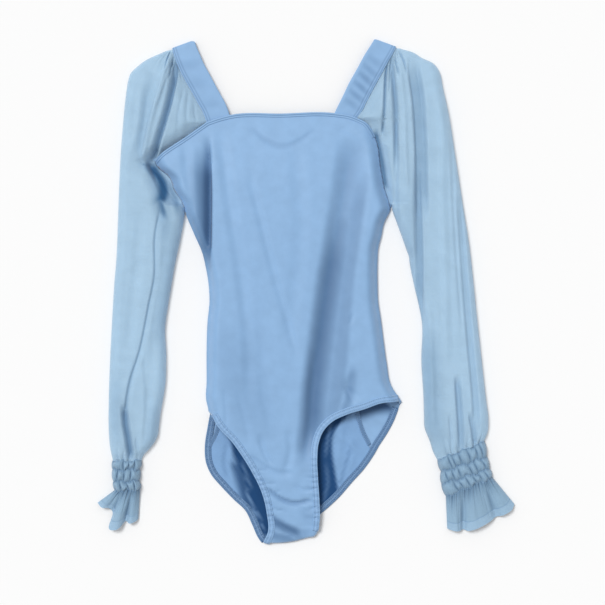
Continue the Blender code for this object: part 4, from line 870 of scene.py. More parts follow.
def roll_chains():
    """Lines along the side folds of the front, in its own cloth, so that the folds come out round."""
    chains = []
    for share in ROLL_SHARES:
        turn = share * math.pi * SIDE_ROLL
        chains.append([(smooth(RIGHT_FOLD, y) - SIDE_ROLL + turn, y) for y in ROLL_ROWS])
        chains.append([(smooth(LEFT_FOLD, y) + SIDE_ROLL - turn, y) for y in ROLL_ROWS])
    return chains


def crease_chains(creases, step):
    """Lines along the bottom and the steep brink of the sharper creases."""
    chains = []
    for crease in creases:
        low, high = crease.low, crease.high
        if crease.way != "down" or min(low, high) > SHARP_FLANK or crease.depth < SHARP_DEPTH:
            continue
        keys = [row[0] for row in crease.path]
        rows = np.arange(min(keys), max(keys), step)
        for aside in (0, high if high < low else -low):
            chains.append([(smooth(crease.path, y) + aside, y) for y in rows])
    return chains


def add_node(tree, kind, **inputs):
    """Adds a shader node, with values on the inputs that are named."""
    node = tree.nodes.new("ShaderNode" + kind)
    for name, value in inputs.items():
        node.inputs[name.replace("_", " ")].default_value = value
    return node


def add_math(tree, operation, first, second, third=None):
    """Adds a calculation: each of its inputs is a number or the output of another node."""
    node = add_node(tree, "Math")
    node.operation = operation
    for slot, value in zip(node.inputs, (first, second, third)):
        if isinstance(value, (int, float)):
            slot.default_value = value
        elif value is not None:
            tree.links.new(value, slot)
    return node


def add_bump(tree, height, strength, distance):
    """Adds a bump from a height between 0 and 1."""
    bump = add_node(tree, "Bump", Strength=strength, Distance=distance)
    tree.links.new(height, bump.inputs["Height"])
    return bump


def cloth_shader(name, roughness, gloss, sheen):
    """A new material, with the values of its shader that are the same all over the cloth."""
    material = bpy.data.materials.new(name)
    material.use_nodes = True
    shader = material.node_tree.nodes["Principled BSDF"]
    shader.inputs["Roughness"].default_value = roughness
    shader.inputs["Specular IOR Level"].default_value = gloss
    shader.inputs["Sheen Weight"].default_value = sheen
    return material, material.node_tree, shader


def cloth_bump(tree, shader, pitch, depth, strength):
    """Adds the fine ribs and rows of a knit as bump, from the cloth's own coordinates in metres."""
    place = add_node(tree, "UVMap")
    place.uv_map = "cloth"
    waves = []
    for direction in ("X", "Y"):
        wave = add_node(tree, "TexWave", Scale=WAVE_TURNS / pitch, Distortion=0.6, Detail=1.0)
        wave.bands_direction = direction
        wave.wave_profile = "SIN"
        tree.links.new(place.outputs["UV"], wave.inputs["Vector"])
        waves.append(wave.outputs["Fac"])
    blend = add_math(tree, "MULTIPLY_ADD", waves[0], 0.7, waves[1])
    bump = add_bump(tree, blend.outputs[0], strength, depth)
    tree.links.new(bump.outputs["Normal"], shader.inputs["Normal"])
    return place, waves


def tinted(tree, shader, place, colour, scale):
    """Varies a cloth's colour a little from place to place, and darkens it by its painted shade."""
    noise = add_node(tree, "TexNoise", Scale=scale, Detail=4.0)
    tree.links.new(place.outputs["UV"], noise.inputs["Vector"])
    ramp = add_node(tree, "ValToRGB")
    for end, position, change in ((0, 0.3, 1 - TINT_CHANGE), (1, 0.7, 1 + TINT_CHANGE)):
        ramp.color_ramp.elements[end].position = position
        ramp.color_ramp.elements[end].color = (*[min(1, channel * change) for channel in colour], 1)
    tree.links.new(noise.outputs["Fac"], ramp.inputs["Fac"])
    # Painted shade: a value on each point that mixes the colour towards its fully shaded tint
    painted_shade = add_node(tree, "Attribute")
    painted_shade.attribute_name = "painted_shade"
    shade_mix = add_node(tree, "Mix")
    shade_mix.data_type = "RGBA"
    factor, plain, deep = (shade_mix.inputs[number] for number in MIX_INPUTS)
    tree.links.new(painted_shade.outputs["Fac"], factor)
    tree.links.new(ramp.outputs["Color"], plain)
    deep.default_value = (*[channel * share for channel, share in zip(colour, SHADE_TINT)], 1)
    tree.links.new(shade_mix.outputs[2], shader.inputs["Base Color"])
    return painted_shade


def knit_material(name, colour, roughness, sheen, pitch=0.0008, gloss=0.3):
    """Stretch knit with a soft satin sheen and fine ribs."""
    material, tree, shader = cloth_shader(name, roughness, gloss, sheen)
    shader.inputs["Sheen Roughness"].default_value = 0.4
    place, _ = cloth_bump(tree, shader, pitch, KNIT_BUMP, 0.5)
    tinted(tree, shader, place, colour, KNIT_TINT_SCALE)
    return material


def fine_wrinkles(tree, shader, place):
    """Adds short fine wrinkles across a sleeve on top of the threads' own bump."""
    stretch = add_node(tree, "Mapping", Scale=WRINKLE_SCALE)
    tree.links.new(place.outputs["UV"], stretch.inputs["Vector"])
    noise = add_node(tree, "TexNoise", Scale=1.0, Detail=2.0)
    tree.links.new(stretch.outputs["Vector"], noise.inputs["Vector"])
    threads = shader.inputs["Normal"].links[0].from_socket
    bump = add_bump(tree, noise.outputs["Fac"], 0.6, WRINKLE_DEPTH)
    tree.links.new(threads, bump.inputs["Normal"])
    tree.links.new(bump.outputs["Normal"], shader.inputs["Normal"])


def mesh_material(name, colour, cover):
    """Sheer mesh: fine threads with open holes between, seen as a see-through cloth."""
    material, tree, shader = cloth_shader(name, 0.6, 0.25, 0.25)
    place, waves = cloth_bump(tree, shader, MESH_PITCH, MESH_BUMP, 0.3)
    painted_shade = tinted(tree, shader, place, colour, MESH_TINT_SCALE)
    threads = add_math(tree, "MAXIMUM", *waves)
    spread = add_node(tree, "MapRange", To_Min=cover - HOLE_COVER, To_Max=min(1.0, cover + THREAD_COVER))
    tree.links.new(threads.outputs[0], spread.inputs["Value"])
    # Painted shade also thickens the mesh's cover, so shaded places let less of the floor show through
    solid = add_math(tree, "MULTIPLY_ADD", painted_shade.outputs["Fac"], SHADE_COVER, spread.outputs["Result"])
    solid.use_clamp = True
    tree.links.new(solid.outputs[0], shader.inputs["Alpha"])
    fine_wrinkles(tree, shader, place)
    return material


def add_mesh(name, points, faces, material, cloth=None, shell=0.0, shade=None):
    """Makes a shown mesh from points in millimetres, with its cloth coordinates, riding on the part."""
    mesh = bpy.data.meshes.new(name)
    placed = (np.asarray(points, dtype=float) - MIDDLE) * MM
    mesh.from_pydata([tuple(point) for point in placed], [], [tuple(int(n) for n in face) for face in faces])
    mesh.validate()
    if cloth is not None:
        layer = mesh.uv_layers.new(name="cloth")
        corners = np.zeros(len(mesh.loops), dtype=np.int32)
        mesh.loops.foreach_get("vertex_index", corners)
        layer.data.foreach_set("uv", (np.asarray(cloth, dtype=float)[corners] * MM).ravel())
    mesh.materials.append(material)
    mesh.polygons.foreach_set("use_smooth", [True] * len(mesh.polygons))
    # Painted shade on each point, from 0 to 1, which the materials darken the colour by
    painted_shade = mesh.attributes.new("painted_shade", "FLOAT", "POINT")
    painted_shade.data.foreach_set("value", np.zeros(len(mesh.vertices)) if shade is None else np.asarray(shade))
    piece = bpy.data.objects.new(name, mesh)
    bpy.context.scene.collection.objects.link(piece)
    if shell:
        thick = piece.modifiers.new("shell", "SOLIDIFY")
        thick.thickness = shell * MM
        thick.offset = -1
    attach(piece, "root")
    return piece


def path_normals(lines):
    """Directions out of the cloth at each point of a strip of lines."""
    return unit(np.cross(np.gradient(lines, axis=0), np.gradient(lines, axis=1)))


def ring_strip(name, lines, over, under, material, flip=False, shade=None):
    """A closed band: lines across it, raised by one profile over and one under, with rounded sides."""
    lines = np.asarray(lines, dtype=float)
    away = path_normals(lines) * (-1 if flip else 1)
    upper = lines + away * np.asarray(over)[..., None]
    lower = lines + away * np.asarray(under)[..., None]
    ring = np.concatenate([upper, lower[:, ::-1]], axis=1)
    rows, columns = ring.shape[:2]
    faces = strip_faces(rows, columns, True)
    faces.append(tuple(range(columns))[::-1])
    faces.append(tuple((rows - 1) * columns + column for column in range(columns)))
    if not flip:
        faces = [face[::-1] for face in faces]
    run = run_length(lines[:, lines.shape[1] // 2])
    width = run_length(lines[rows // 2])
    widths = np.concatenate([width, width[::-1]])
    cloth = np.column_stack([np.tile(widths, rows), np.repeat(run, columns)])
    if shade is not None:
        shade = np.broadcast_to(shade, (rows, columns // 2))
        shade = np.concatenate([shade, shade[:, ::-1]], axis=1).ravel()
    return add_mesh(name, ring.reshape(-1, 3), faces, material, cloth, 0, shade)


def ring_cloth(rings, pitch):
    """Cloth coordinates of a tube's rings: the way round each, and the way from one to the next."""
    girth = np.concatenate([run_length(ring) for ring in rings])
    return np.column_stack([girth, np.repeat(np.arange(len(rings)) * pitch, len(rings[0]))])


def stitches(name, starts, ends, away, radius, material):
    """Short rounded stitches from start to end points, lying on the cloth."""
    along = unit(ends - starts)
    side = unit(np.cross(along, away))
    angles = 2 * math.pi * np.arange(STITCH_SIDES) / STITCH_SIDES
    columns, size = STITCH_SIDES, len(STITCH_SHAPE) * STITCH_SIDES
    ring_faces = strip_faces(len(STITCH_SHAPE), columns, True)
    ring_faces.append(tuple(range(columns))[::-1])
    ring_faces.append(tuple(range(size - columns, size)))
    points, faces = [], []
    for number in range(len(starts)):
        for share, girth in STITCH_SHAPE:
            middle = starts[number] + (ends[number] - starts[number]) * share
            for angle in angles:
                points.append(middle + radius * girth * (math.cos(angle) * side[number]
                                                         + math.sin(angle) * away[number]))
        faces += [tuple(number * size + corner for corner in face) for face in ring_faces]
    return add_mesh(name, points, faces, material)


def read_at(run, values, where):
    """Points of a line of values at places along its run."""
    return np.column_stack([np.interp(where, run, values[:, axis]) for axis in range(3)])


def row_of_stitches(name, line, away, stitch, material, sway=0.0, side=None):
    """A row of stitches along a line of points: straight, or swaying from side to side."""
    pitch, length, radius = stitch
    run = run_length(line)
    at = np.arange(pitch / 2, run[-1] - pitch / 2, pitch)
    starts, ends = read_at(run, line, at - length / 2), read_at(run, line, at + length / 2)
    if sway:
        sign = np.where(np.arange(len(at)) % 2, 1.0, -1.0)[:, None]
        aside = read_at(run, side, at) * sway * sign
        starts, ends = starts - aside, ends + aside
    return stitches(name, starts, ends, read_at(run, away, at), radius, material)


def make_front(material):
    """The front: over the top, round both sides to the side seams, and down to the crotch."""
    edges = front_edges()
    outline = join_runs(edges.values())
    chains = [inset(edges["crotch"], CROTCH_ROLL / 4), inset(edges["crotch"], CROTCH_ROLL / 2)]
    creases = crease_chains(FRONT_CREASES, FINE_STEP)
    flat, faces = fill(outline, chains + roll_chains() + creases, FINE_STEP)
    points = front_point(flat[:, 0], flat[:, 1])
    # Painted shade along the front's creases
    shade = shade_of(FRONT_CREASES, flat[:, 0], flat[:, 1])
    return add_mesh("front", points, faces, material, flat, KNIT_SHELL, shade)


def make_back(material):
    """The back: a sheet on the floor with soft wrinkles, between the side seams."""
    outline = join_runs(back_edges().values())
    flat, faces = fill(outline, [], FINE_BACK)
    points = np.column_stack([flat, back_height(flat[:, 0], flat[:, 1])])
    # Painted shadow inside the leg openings and painted lighter streaks, from the back's creases
    shade = shade_of(BACK_CREASES, flat[:, 0], flat[:, 1])
    return add_mesh("back", points, faces, material, flat, KNIT_SHELL, shade)


def on_front(run):
    """Points of the front's outer face along a run in its cloth."""
    return front_point(run[:, 0], run[:, 1])


def on_back(run):
    """Points of the back's inner face along a run."""
    return np.column_stack([run, back_height(run[:, 0], run[:, 1])])


def band_lines(place, run, width):
    """Lines across a band along an edge of a panel, on the panel's own points."""
    return np.stack([place(inset(run, share * width)) for share in BAND_SHARES], axis=1)


def binding_rise(rows):
    """Height of a binding over its panel: two rounded rolls with a groove between, and fine ribs."""
    body = quarter_round(np.minimum(BAND_SHARES, 1 - BAND_SHARES), 0.22)
    dip = BINDING_GROOVE * bell(BAND_SHARES, 0.5, 0.09)
    rib = 1 + BINDING_RIBS * np.sin(2 * math.pi * np.arange(rows) * BAND_PITCH / RIB_PITCH)
    rib *= 0.3 + 0.7 * quarter_round(np.minimum(np.arange(rows), np.arange(rows)[::-1]), 3)
    return BINDING_RISE * (0.15 + 0.85 * body * (1 - dip))[None, :] * rib[:, None]


def make_binding(name, place, run, material):
    """A folded binding along an edge."""
    lines = band_lines(place, resample(run, BAND_PITCH), BINDING_WIDTH)
    rise = binding_rise(len(lines))
    # Painted shade along the binding's middle groove
    shade = ROW_SHADE * bell(BAND_SHARES, 0.5, 0.1)
    return ring_strip(name, lines, rise, np.zeros_like(rise), material, False, shade)


def hem_rise(rows):
    """Height of an elastic hem over its panel: flat, a little puckered, pressed in along its stitches."""
    body = quarter_round(np.minimum(BAND_SHARES, 1 - BAND_SHARES), 0.12)
    along = np.arange(rows) * BAND_PITCH
    long_wave, short_wave = HEM_WAVES
    pucker = (np.sin(2 * math.pi * along / long_wave)
              + 0.6 * np.sin(2 * math.pi * along / short_wave + 1.0)) / 1.6
    puckered = 1 + PUCKER * pucker[:, None] * (0.4 + BAND_SHARES[None, :])
    rise = HEM_RISE * (0.2 + 0.8 * body)[None, :] * puckered
    for row in STITCH_ROWS:
        rise = rise - STITCH_DIP * bell(BAND_SHARES[None, :], row, 0.05)
    return rise


def make_hem(name, place, run, material, thread, base_shade):
    """An elastic hem: a flat, slightly puckered band with a zigzag row between two straight rows."""
    lines = band_lines(place, resample(run, BAND_PITCH), HEM_WIDTH)
    rise = hem_rise(len(lines))
    # Painted shade along the stitch rows, on top of any painted shade the whole hem is given
    shade = base_shade + sum(ROW_SHADE * bell(BAND_SHARES, row, 0.07) for row in STITCH_ROWS)
    piece = ring_strip(name, lines, rise, np.zeros_like(rise), material, False, np.clip(shade, 0, 1))
    away = path_normals(lines)
    rows = []
    for number, row in enumerate(STITCH_ROWS):
        column = int(round(row * BAND_COLUMNS))
        line = lines[:, column] + away[:, column] * (rise[:, column] + THREAD_LIFT)[:, None]
        rows.append(row_of_stitches(f"{name}_stitch_{number}", line, away[:, column], HEM_STITCH, thread))
    middle = BAND_COLUMNS // 2
    line = lines[:, middle] + away[:, middle] * (rise[:, middle] + ZIGZAG_LIFT)[:, None]
    side = unit(np.gradient(lines, axis=1)[:, middle])
    rows.append(row_of_stitches(f"{name}_zigzag", line, away[:, middle], ZIGZAG_STITCH, thread, ZIGZAG_SWAY,
                                side))
    return piece, rows


def make_inner_seam(name, path, material, thread):
    """A side seam as the inside shows it: a low ridge with a row of stitches either side."""
    middle = resample(path, BAND_PITCH)
    shares = np.arange(SEAM_COLUMNS + 1) / SEAM_COLUMNS - 0.5
    lines = np.stack([np.column_stack([inset(middle, share * SEAM_WIDTH), np.full(len(middle), SEAM_BASE)])
                      for share in shares], axis=1)
    rise = np.tile(SEAM_RISE * quarter_round(0.5 - np.abs(shares), 0.3), (len(lines), 1))
    # Painted shade over the whole seam ridge
    piece = ring_strip(name, lines, rise, np.zeros_like(rise), material, False, SEAM_SHADE)
    rows = []
    for number, column in enumerate((1, SEAM_COLUMNS - 1)):
        line = lines[:, column] + UP * (rise[0, column] + THREAD_LIFT)
        away = np.tile(UP, (len(line), 1))
        rows.append(row_of_stitches(f"{name}_stitch_{number}", line, away, SEAM_STITCH, thread))
    return piece, rows


def sleeve_rows(side):
    """The sleeve's rows read more finely, each with whether it is open and how far it is from each end."""
    table = np.array(SLEEVE_ROWS[side], dtype=float)
    key = np.concatenate([[0], np.cumsum(np.abs(np.diff(table[:, :2].mean(axis=1))))])
    at = np.linspace(0, key[-1], int(key[-1] / SLEEVE_PITCH) + 1)
    rows = np.column_stack([smooth(list(zip(key, table[:, column])), at) for column in range(4)])
    rows[-1, :2] -= SLEEVE_TAIL
    return rows, at <= (key[OPEN_ROWS - 1] + key[OPEN_ROWS]) / 2, at, key[-1] - at


def gathers(share, count, shift, sharp):
    """Rounded lobes with narrow valleys between, uneven in width: 0 in the valleys, 1 on the lobes."""
    uneven = share + 0.035 * np.sin(2 * math.pi * (share * 2.3 + shift)) + 0.012 * np.sin(
        2 * math.pi * (share * 5.7 + 2.1 * shift))
    return np.abs(np.sin(math.pi * (count * uneven + shift))) ** sharp


def puff_lobes(valleys, slant, share, part):
    """Rounded lobes between the gathers of one row of puffs: 0 in the gathers, higher on the wider lobes."""
    valleys = np.array(valleys, dtype=float)
    inner = np.clip(valleys[1:-1] + slant * (part - 0.5), 0.02, 0.98)
    valleys = np.concatenate([[0], inner, [1]])
    row = np.clip(np.searchsorted(valleys, share, side="right") - 1, 0, len(valleys) - 2)
    wide = valleys[row + 1] - valleys[row]
    lobe = np.sin(math.pi * (share - valleys[row]) / wide) ** 0.6
    return np.clip(lobe, 0, 1) * np.clip(0.45 + 2.6 * wide, 0, 1)


def sleeve_gathers(side, share, from_top, to_end):
    """How far the gathers at the strap and at the cuff draw a sleeve's upper side down."""
    near_cuff = fade_in(CUFF_GATHER[0] - to_end, CUFF_GATHER[0]) ** 1.5
    lobes = puff_lobes(PUFFS[side][0][0], 0, share, 0.5)
    cuff = CUFF_GATHER[1] * near_cuff * (1 - lobes) * (0.4 + gathers(share, 7, 0.2, 1))
    near_cap = np.clip(1 - from_top / CAP_GATHER[0], 0, 1)
    valleys = 1 - gathers(share ** 0.7, 9, 0.3, 0.7)
    cap = CAP_GATHER[1] * near_cap * valleys * np.clip(1.3 - share * 1.5, 0, 1)
    return cuff + cap


def sleeve_dome(width, share, top, edge, is_open):
    """Height of a section before its creases: a dome down to both folds, or up to its open edge."""
    dome = EDGE_HEIGHT + (top - EDGE_HEIGHT) * quarter_round(width * (1 - share), SLEEVE_ROUND)
    if is_open:
        rise = np.sin(math.pi / 2 * np.clip(width * share / OPEN_RISE, 0, 1))
        return np.minimum(dome, edge + (top - edge) * rise)
    return np.minimum(dome, EDGE_HEIGHT + (top - EDGE_HEIGHT) * quarter_round(width * share, SLEEVE_ROUND))


def sleeve_underside(outer, inner, is_open, seed):
    """A section's way back underneath: near the floor with small waves, and rising at the folds."""
    back = (np.arange(1, SLEEVE_UNDER + 1) / SLEEVE_UNDER) ** UNDER_SPREAD
    x = outer[0] + (inner[0] - outer[0]) * back
    y = outer[1] + (inner[1] - outer[1]) * back
    lift = 1 - quarter_round(np.abs(x - outer[0]), UNDER_ROUND)
    if not is_open:
        lift = np.maximum(lift, 1 - quarter_round(np.abs(x - inner[0]), UNDER_ROUND))
    rest = UNDER_REST + UNDER_WAVE * np.abs(ease(x, y, seed + 2)) * np.sin(math.pi * back)
    return np.column_stack([x, y, rest + (EDGE_HEIGHT - rest) * lift])


def sleeve_ring(side, row, is_open, from_top, to_end):
    """One section of a sleeve, from its inner edge over the top to the fold and back underneath."""
    outer_y, inner_y, top, edge = row
    seed = SLEEVE_SEEDS[side]
    outer_x = float(smooth(SLEEVE_OUTER[side], outer_y))
    if is_open:
        gap = -SEWN_GAP if side == "left" else SEWN_GAP
        inner_x = sewn_edge(side, "front", inner_y) + gap
        under_x = sewn_edge(side, "back", inner_y) + gap
    else:
        inner_x = under_x = float(smooth(SLEEVE_INNER[side], inner_y))
    width = abs(outer_x - inner_x)
    part = np.arange(SLEEVE_TOP + 1) / SLEEVE_TOP
    share = part - SLEEVE_SPREAD * np.sin(2 * math.pi * part) / (2 * math.pi)
    x = inner_x + (outer_x - inner_x) * share
    y = inner_y + (outer_y - inner_y) * share
    height = sleeve_dome(width, share, top, edge, is_open)
    edge_room = np.clip(np.minimum(share, 1 - share) * width / SLEEVE_EDGE_ROOM, 0, 1)
    room = np.sin(math.pi / 2 * edge_room) * min(1.0, width / FOLD_ROOM + 0.25)
    for crease in SLEEVE_CREASES[side]:
        height = height - crease_depth(crease, x, y) * room
    height = height + (ease(x, y, seed) * SLEEVE_EASE - sleeve_gathers(side, share, from_top, to_end)) * room
    upper = np.column_stack([x, y, np.maximum(height, EDGE_HEIGHT)])
    return np.vstack([upper, sleeve_underside((outer_x, outer_y), (under_x, inner_y), is_open, seed)])


def make_sleeve(side, material):
    """A sleeve in one piece: open along the armhole above the underarm, a tube below it."""
    sections = sleeve_rows(side)
    rings = [sleeve_ring(side, *section) for section in zip(*sections)]
    is_open, columns = sections[1], len(rings[0])
    points = np.vstack(rings)
    faces = []
    for row in range(len(rings) - 1):
        for column in range(columns - 1):
            corners = [(row, column), (row, column + 1), (row + 1, column + 1), (row + 1, column)]
            numbers = [r * columns + (0 if c == columns - 1 and not is_open[r] else c) for r, c in corners]
            faces.append(tuple(numbers[::-1] if side == "right" else numbers))
    # Painted shade along the sleeve's creases, on its upper side only
    shade = shade_of(SLEEVE_CREASES[side], points[:, 0], points[:, 1])
    shade[np.tile(np.arange(columns) > SLEEVE_TOP, len(rings))] = 0
    cloth = ring_cloth(rings, SLEEVE_PITCH)
    return add_mesh(f"sleeve_{side}_mesh", points, faces, material, cloth, 0, shade)


def strap_line(row, height):
    """Points across a strap from its outer to its inner edge."""
    outer_y, outer_x, inner_y, inner_x = row
    x = outer_x + (inner_x - outer_x) * STRAP_SHARES
    y = outer_y + (inner_y - outer_y) * STRAP_SHARES
    return np.column_stack([x, y, np.full(len(STRAP_SHARES), height)])


def strap_lines(side):
    """Lines across a strap from the neckline up the front, round the fold and down the back."""
    outer_x, inner_x = STRAP_SPANS[side]
    outer_y, inner_y = smooth(NECKLINE, np.array([outer_x, inner_x], dtype=float)) + STRAP_TUCK
    table = resample(np.vstack([[outer_y, outer_x, inner_y, inner_x], STRAPS[side][::-1]]), STRAP_STEP)
    tip = strap_line(table[-1], 0)
    ahead = unit(tip - strap_line(table[-2], 0))
    corner = np.clip((STRAP_SHARES - CORNER_START) / (1 - CORNER_START), 0, 1) ** 2
    tip = tip - ahead * (STRAP_CORNER[side] * corner)[:, None]
    run = run_length(table[:, :2])
    to_tip = run[-1] - run
    heights = STRAP_HEIGHT - (STRAP_HEIGHT - 2 * STRAP_FOLD_RADIUS) * (1 - fade_in(to_tip, STRAP_FALL))
    start = int(np.argmax(to_tip < STRAP_FOLD_RADIUS))
    lines = [strap_line(row, height) for row, height in zip(table[:start], heights)]
    for turn in np.linspace(0, math.pi, STRAP_TURNS):
        along = ahead * STRAP_FOLD_RADIUS * (math.sin(turn) - 1)
        lines.append(tip + along + np.array([0, 0, STRAP_FOLD_RADIUS * (1 + math.cos(turn))]))
    below = [strap_line(row, STRAP_REST) for row in table[:start][::-1]]
    return np.array(lines + below), start


def strap_falls(side, run, start):
    """How deep the cross creases press the upper part of a strap, at each of its points."""
    falls = np.zeros((len(run), STRAP_FINE + 1))
    ends = np.sin(math.pi * np.clip(STRAP_SHARES * 1.15, 0, 1)) ** 0.6
    for middle, slant, width, depth in STRAP_CREASES[side]:
        falls += depth * bell(run[:, None] - slant * STRAP_SHARES[None, :], middle, width) * ends
    falls[start:] = 0
    return falls


def make_strap(side, material, thread):
    """A strap with its soft cross creases and its twin rows of stitches."""
    lines, start = strap_lines(side)
    falls = strap_falls(side, run_length(lines[:, 0]), start)
    lines[..., 2] -= falls
    from_edge = np.minimum(STRAP_SHARES, 1 - STRAP_SHARES) * STRAP_WIDTH
    body = STRAP_WALL / 2 * quarter_round(from_edge, STRAP_EDGE)
    seam = sum(bell(STRAP_SHARES * STRAP_WIDTH, place, SEAM_DIP_WIDTH) for place in STRAP_STITCHES)
    over = np.tile(body - STRAP_WALL / 2 - SEAM_DIP * seam, (len(lines), 1))
    under = np.tile(-body - STRAP_WALL / 2, (len(lines), 1))
    flip = side == "right"
    # Painted shade along the stitch rows and in the cross creases
    shade = np.clip(ROW_SHADE * seam[None, :] + STRAP_SHADE * falls, 0, 1)
    piece = ring_strip(f"strap_{side}_cloth", lines, over, under, material, flip, shade)
    away = path_normals(lines) * (-1 if flip else 1)
    rows = []
    for number, place in enumerate(STRAP_STITCHES):
        column, rest = divmod(place / STRAP_WIDTH * STRAP_FINE, 1)
        column = int(column)
        line = lines[:, column] * (1 - rest) + lines[:, column + 1] * rest - away[:, column] * THREAD_LIFT
        rows.append(row_of_stitches(f"strap_{side}_stitch_{number}", line, away[:, column], STRAP_STITCH,
                                    thread))
    return piece, rows


def cuff_ring(left, right, thickness, raised):
    """One section of a cuff between two ends: rounded over the top with its gathers, flat underneath."""
    under = np.linspace(1, 0, CUFF_UNDER_FINE + 1)[1:-1]
    share = np.concatenate([CUFF_SHARES, under])
    upper = np.arange(len(share)) <= CUFF_FINE
    from_end = (0.5 - np.abs(share - 0.5)) * np.linalg.norm(right - left)
    round_off = quarter_round(from_end, thickness * CUFF_ROUND)
    height = np.where(upper, EDGE_HEIGHT + (thickness - EDGE_HEIGHT) * round_off,
                      CUFF_REST + (EDGE_HEIGHT - CUFF_REST) * (1 - quarter_round(from_end, UNDER_ROUND)))
    height[:CUFF_FINE + 1] += raised * round_off[:CUFF_FINE + 1]
    return np.column_stack([left + np.outer(share, right - left), height])


def over_top(values):
    """Values over the top of a cuff's ring, with none underneath."""
    return np.concatenate([values, np.zeros(CUFF_UNDER_FINE - 1)])


def cuff_section(side, step):
    """One section of the shirred part of a cuff, and its painted shade."""
    elastics, count = np.array(ELASTICS[side]), GATHER_COUNTS[side]
    band = min(step // PUFF_FINE, len(elastics) - 2)
    part = step / PUFF_FINE - band
    row = elastics[band] + (elastics[band + 1] - elastics[band]) * part
    shift = CUFF_SHIFTS[band] + (CUFF_SHIFTS[band + 1] - CUFF_SHIFTS[band]) * part
    puff = math.sin(math.pi * part) ** 0.8
    lobes = puff_lobes(*PUFFS[side][band], CUFF_SHARES, part)
    fine = gathers(CUFF_SHARES, count * 2.6, shift * 1.7, 0.8)
    raised = puff * (PUFF_LOW + PUFF_TALL * lobes) + (0.8 - 0.35 * puff) * fine - GATHER_DROP
    # Painted shade in the gathers and between the puffs, with a little over the puffs
    dark = PUFF_SHADE + GATHER_SHADE * (puff * (1 - lobes) ** 2 + (1 - puff) ** 2 * (1 - 0.5 * fine))
    along = unit(row[2:4] - row[0:2])
    swell = puff * PUFF_SWELL * along
    ring = cuff_ring(row[0:2] - swell, row[2:4] + swell, row[4], raised)
    wobble = sum(size * np.sin(2 * math.pi * (CUFF_SHARES * count * waves + shift * turn))
                 for size, waves, turn in CUFF_WOBBLES)
    wobble *= np.clip(np.minimum(CUFF_SHARES, 1 - CUFF_SHARES) * 12, 0, 1)
    ring[:CUFF_FINE + 1, :2] += np.array([along[1], -along[0]]) * wobble[:, None]
    return ring, over_top(dark)


def elastic_thread(name, ring, material):
    """The shirring thread over the upper side of a cuff: short stitches that dip into the cloth."""
    line = ring[2:CUFF_FINE - 1] + UP * ELASTIC_LIFT
    return row_of_stitches(name, line, np.tile(UP, (len(line), 1)), ELASTIC_STITCH, material)


def ruffle_end(side):
    """The ruffle's hem as a ring: wavy over the top, flat and a little longer underneath."""
    hem = np.array(RUFFLES[side])
    top = np.column_stack([smooth(list(zip(hem[:, 0], hem[:, column])), CUFF_SHARES)
                           for column in (1, 2, 3)])
    back = np.linspace(1, 0, CUFF_UNDER_FINE + 1)[1:-1]
    middle_y = (hem[0, 2] + hem[-1, 2]) / 2 - RUFFLE_SAG
    floor = np.column_stack([np.interp(back, (0, 1), (hem[0, 1], hem[-1, 1])),
                             np.interp(back, (0, 0.5, 1), (hem[0, 2], middle_y, hem[-1, 2])),
                             np.full(len(back), CUFF_REST)])
    return np.vstack([top, floor])


def ruffle_rings(side, start):
    """Sections of the ruffle, from the last elastic row to the wavy hem."""
    end, count = ruffle_end(side), GATHER_COUNTS[side]
    lobes = gathers(CUFF_SHARES, count * 1.1, CUFF_SHIFTS[-1] + 0.2, 0.6)
    flutes = gathers(CUFF_SHARES, count * 0.8, 0.35, 1.0)
    away = np.clip(np.minimum(CUFF_SHARES, 1 - CUFF_SHARES) * 14, 0, 1)
    rings = []
    for step in range(1, RUFFLE_FINE + 1):
        part = step / RUFFLE_FINE
        ring = start + (end - start) * np.array([part, part, 1 - (1 - part) ** RUFFLE_SWEEP])
        gathered = RUFFLE_LOBES * (1 - part) ** 2 * (lobes - 0.5)
        gathered += RUFFLE_FLUTES * math.sin(math.pi * part * 0.9) * (flutes - 0.5)
        ring[:CUFF_FINE + 1, 2] = np.maximum(ring[:CUFF_FINE + 1, 2] + gathered * away, RUFFLE_LOWEST)
        rings.append(ring)
    return rings


def ruffle_shades(side, last):
    """Painted shade of each section of a ruffle: fading gathers, two valleys, and a line at the hem."""
    valleys = RUFFLE_SHADE * over_top(sum(bell(CUFF_SHARES, at, 0.035) for at in RUFFLE_VALLEYS[side]))
    shades = []
    for step in range(1, RUFFLE_FINE + 1):
        part = step / RUFFLE_FINE
        shade = np.maximum(last * (1 - part) ** 3, valleys * math.sin(math.pi * part) ** 0.5)
        if step == RUFFLE_FINE - HEM_RINGS + 1:
            shade = np.maximum(shade, HEM_LINE_SHADE)
        shades.append(shade)
    return shades


def ruffle_hem_band(side, rings, material):
    """The ruffle's turned hem: a second layer of mesh along the edge, a little outside the first."""
    band = rings[-HEM_RINGS:].copy()
    band[..., 2] += np.where(np.arange(rings.shape[1]) <= CUFF_FINE, HEM_LIFT, -HEM_DROP)
    band[..., 2] = np.maximum(band[..., 2], HEM_LOWEST)
    faces = strip_faces(len(band), band.shape[1], True)
    cloth = ring_cloth(band, CUFF_PITCH)
    # Painted shade over the whole hem band
    shade = np.full(len(cloth), HEM_SHADE)
    return add_mesh(f"ruffle_hem_{side}", band.reshape(-1, 3), faces, material, cloth, 0, shade)


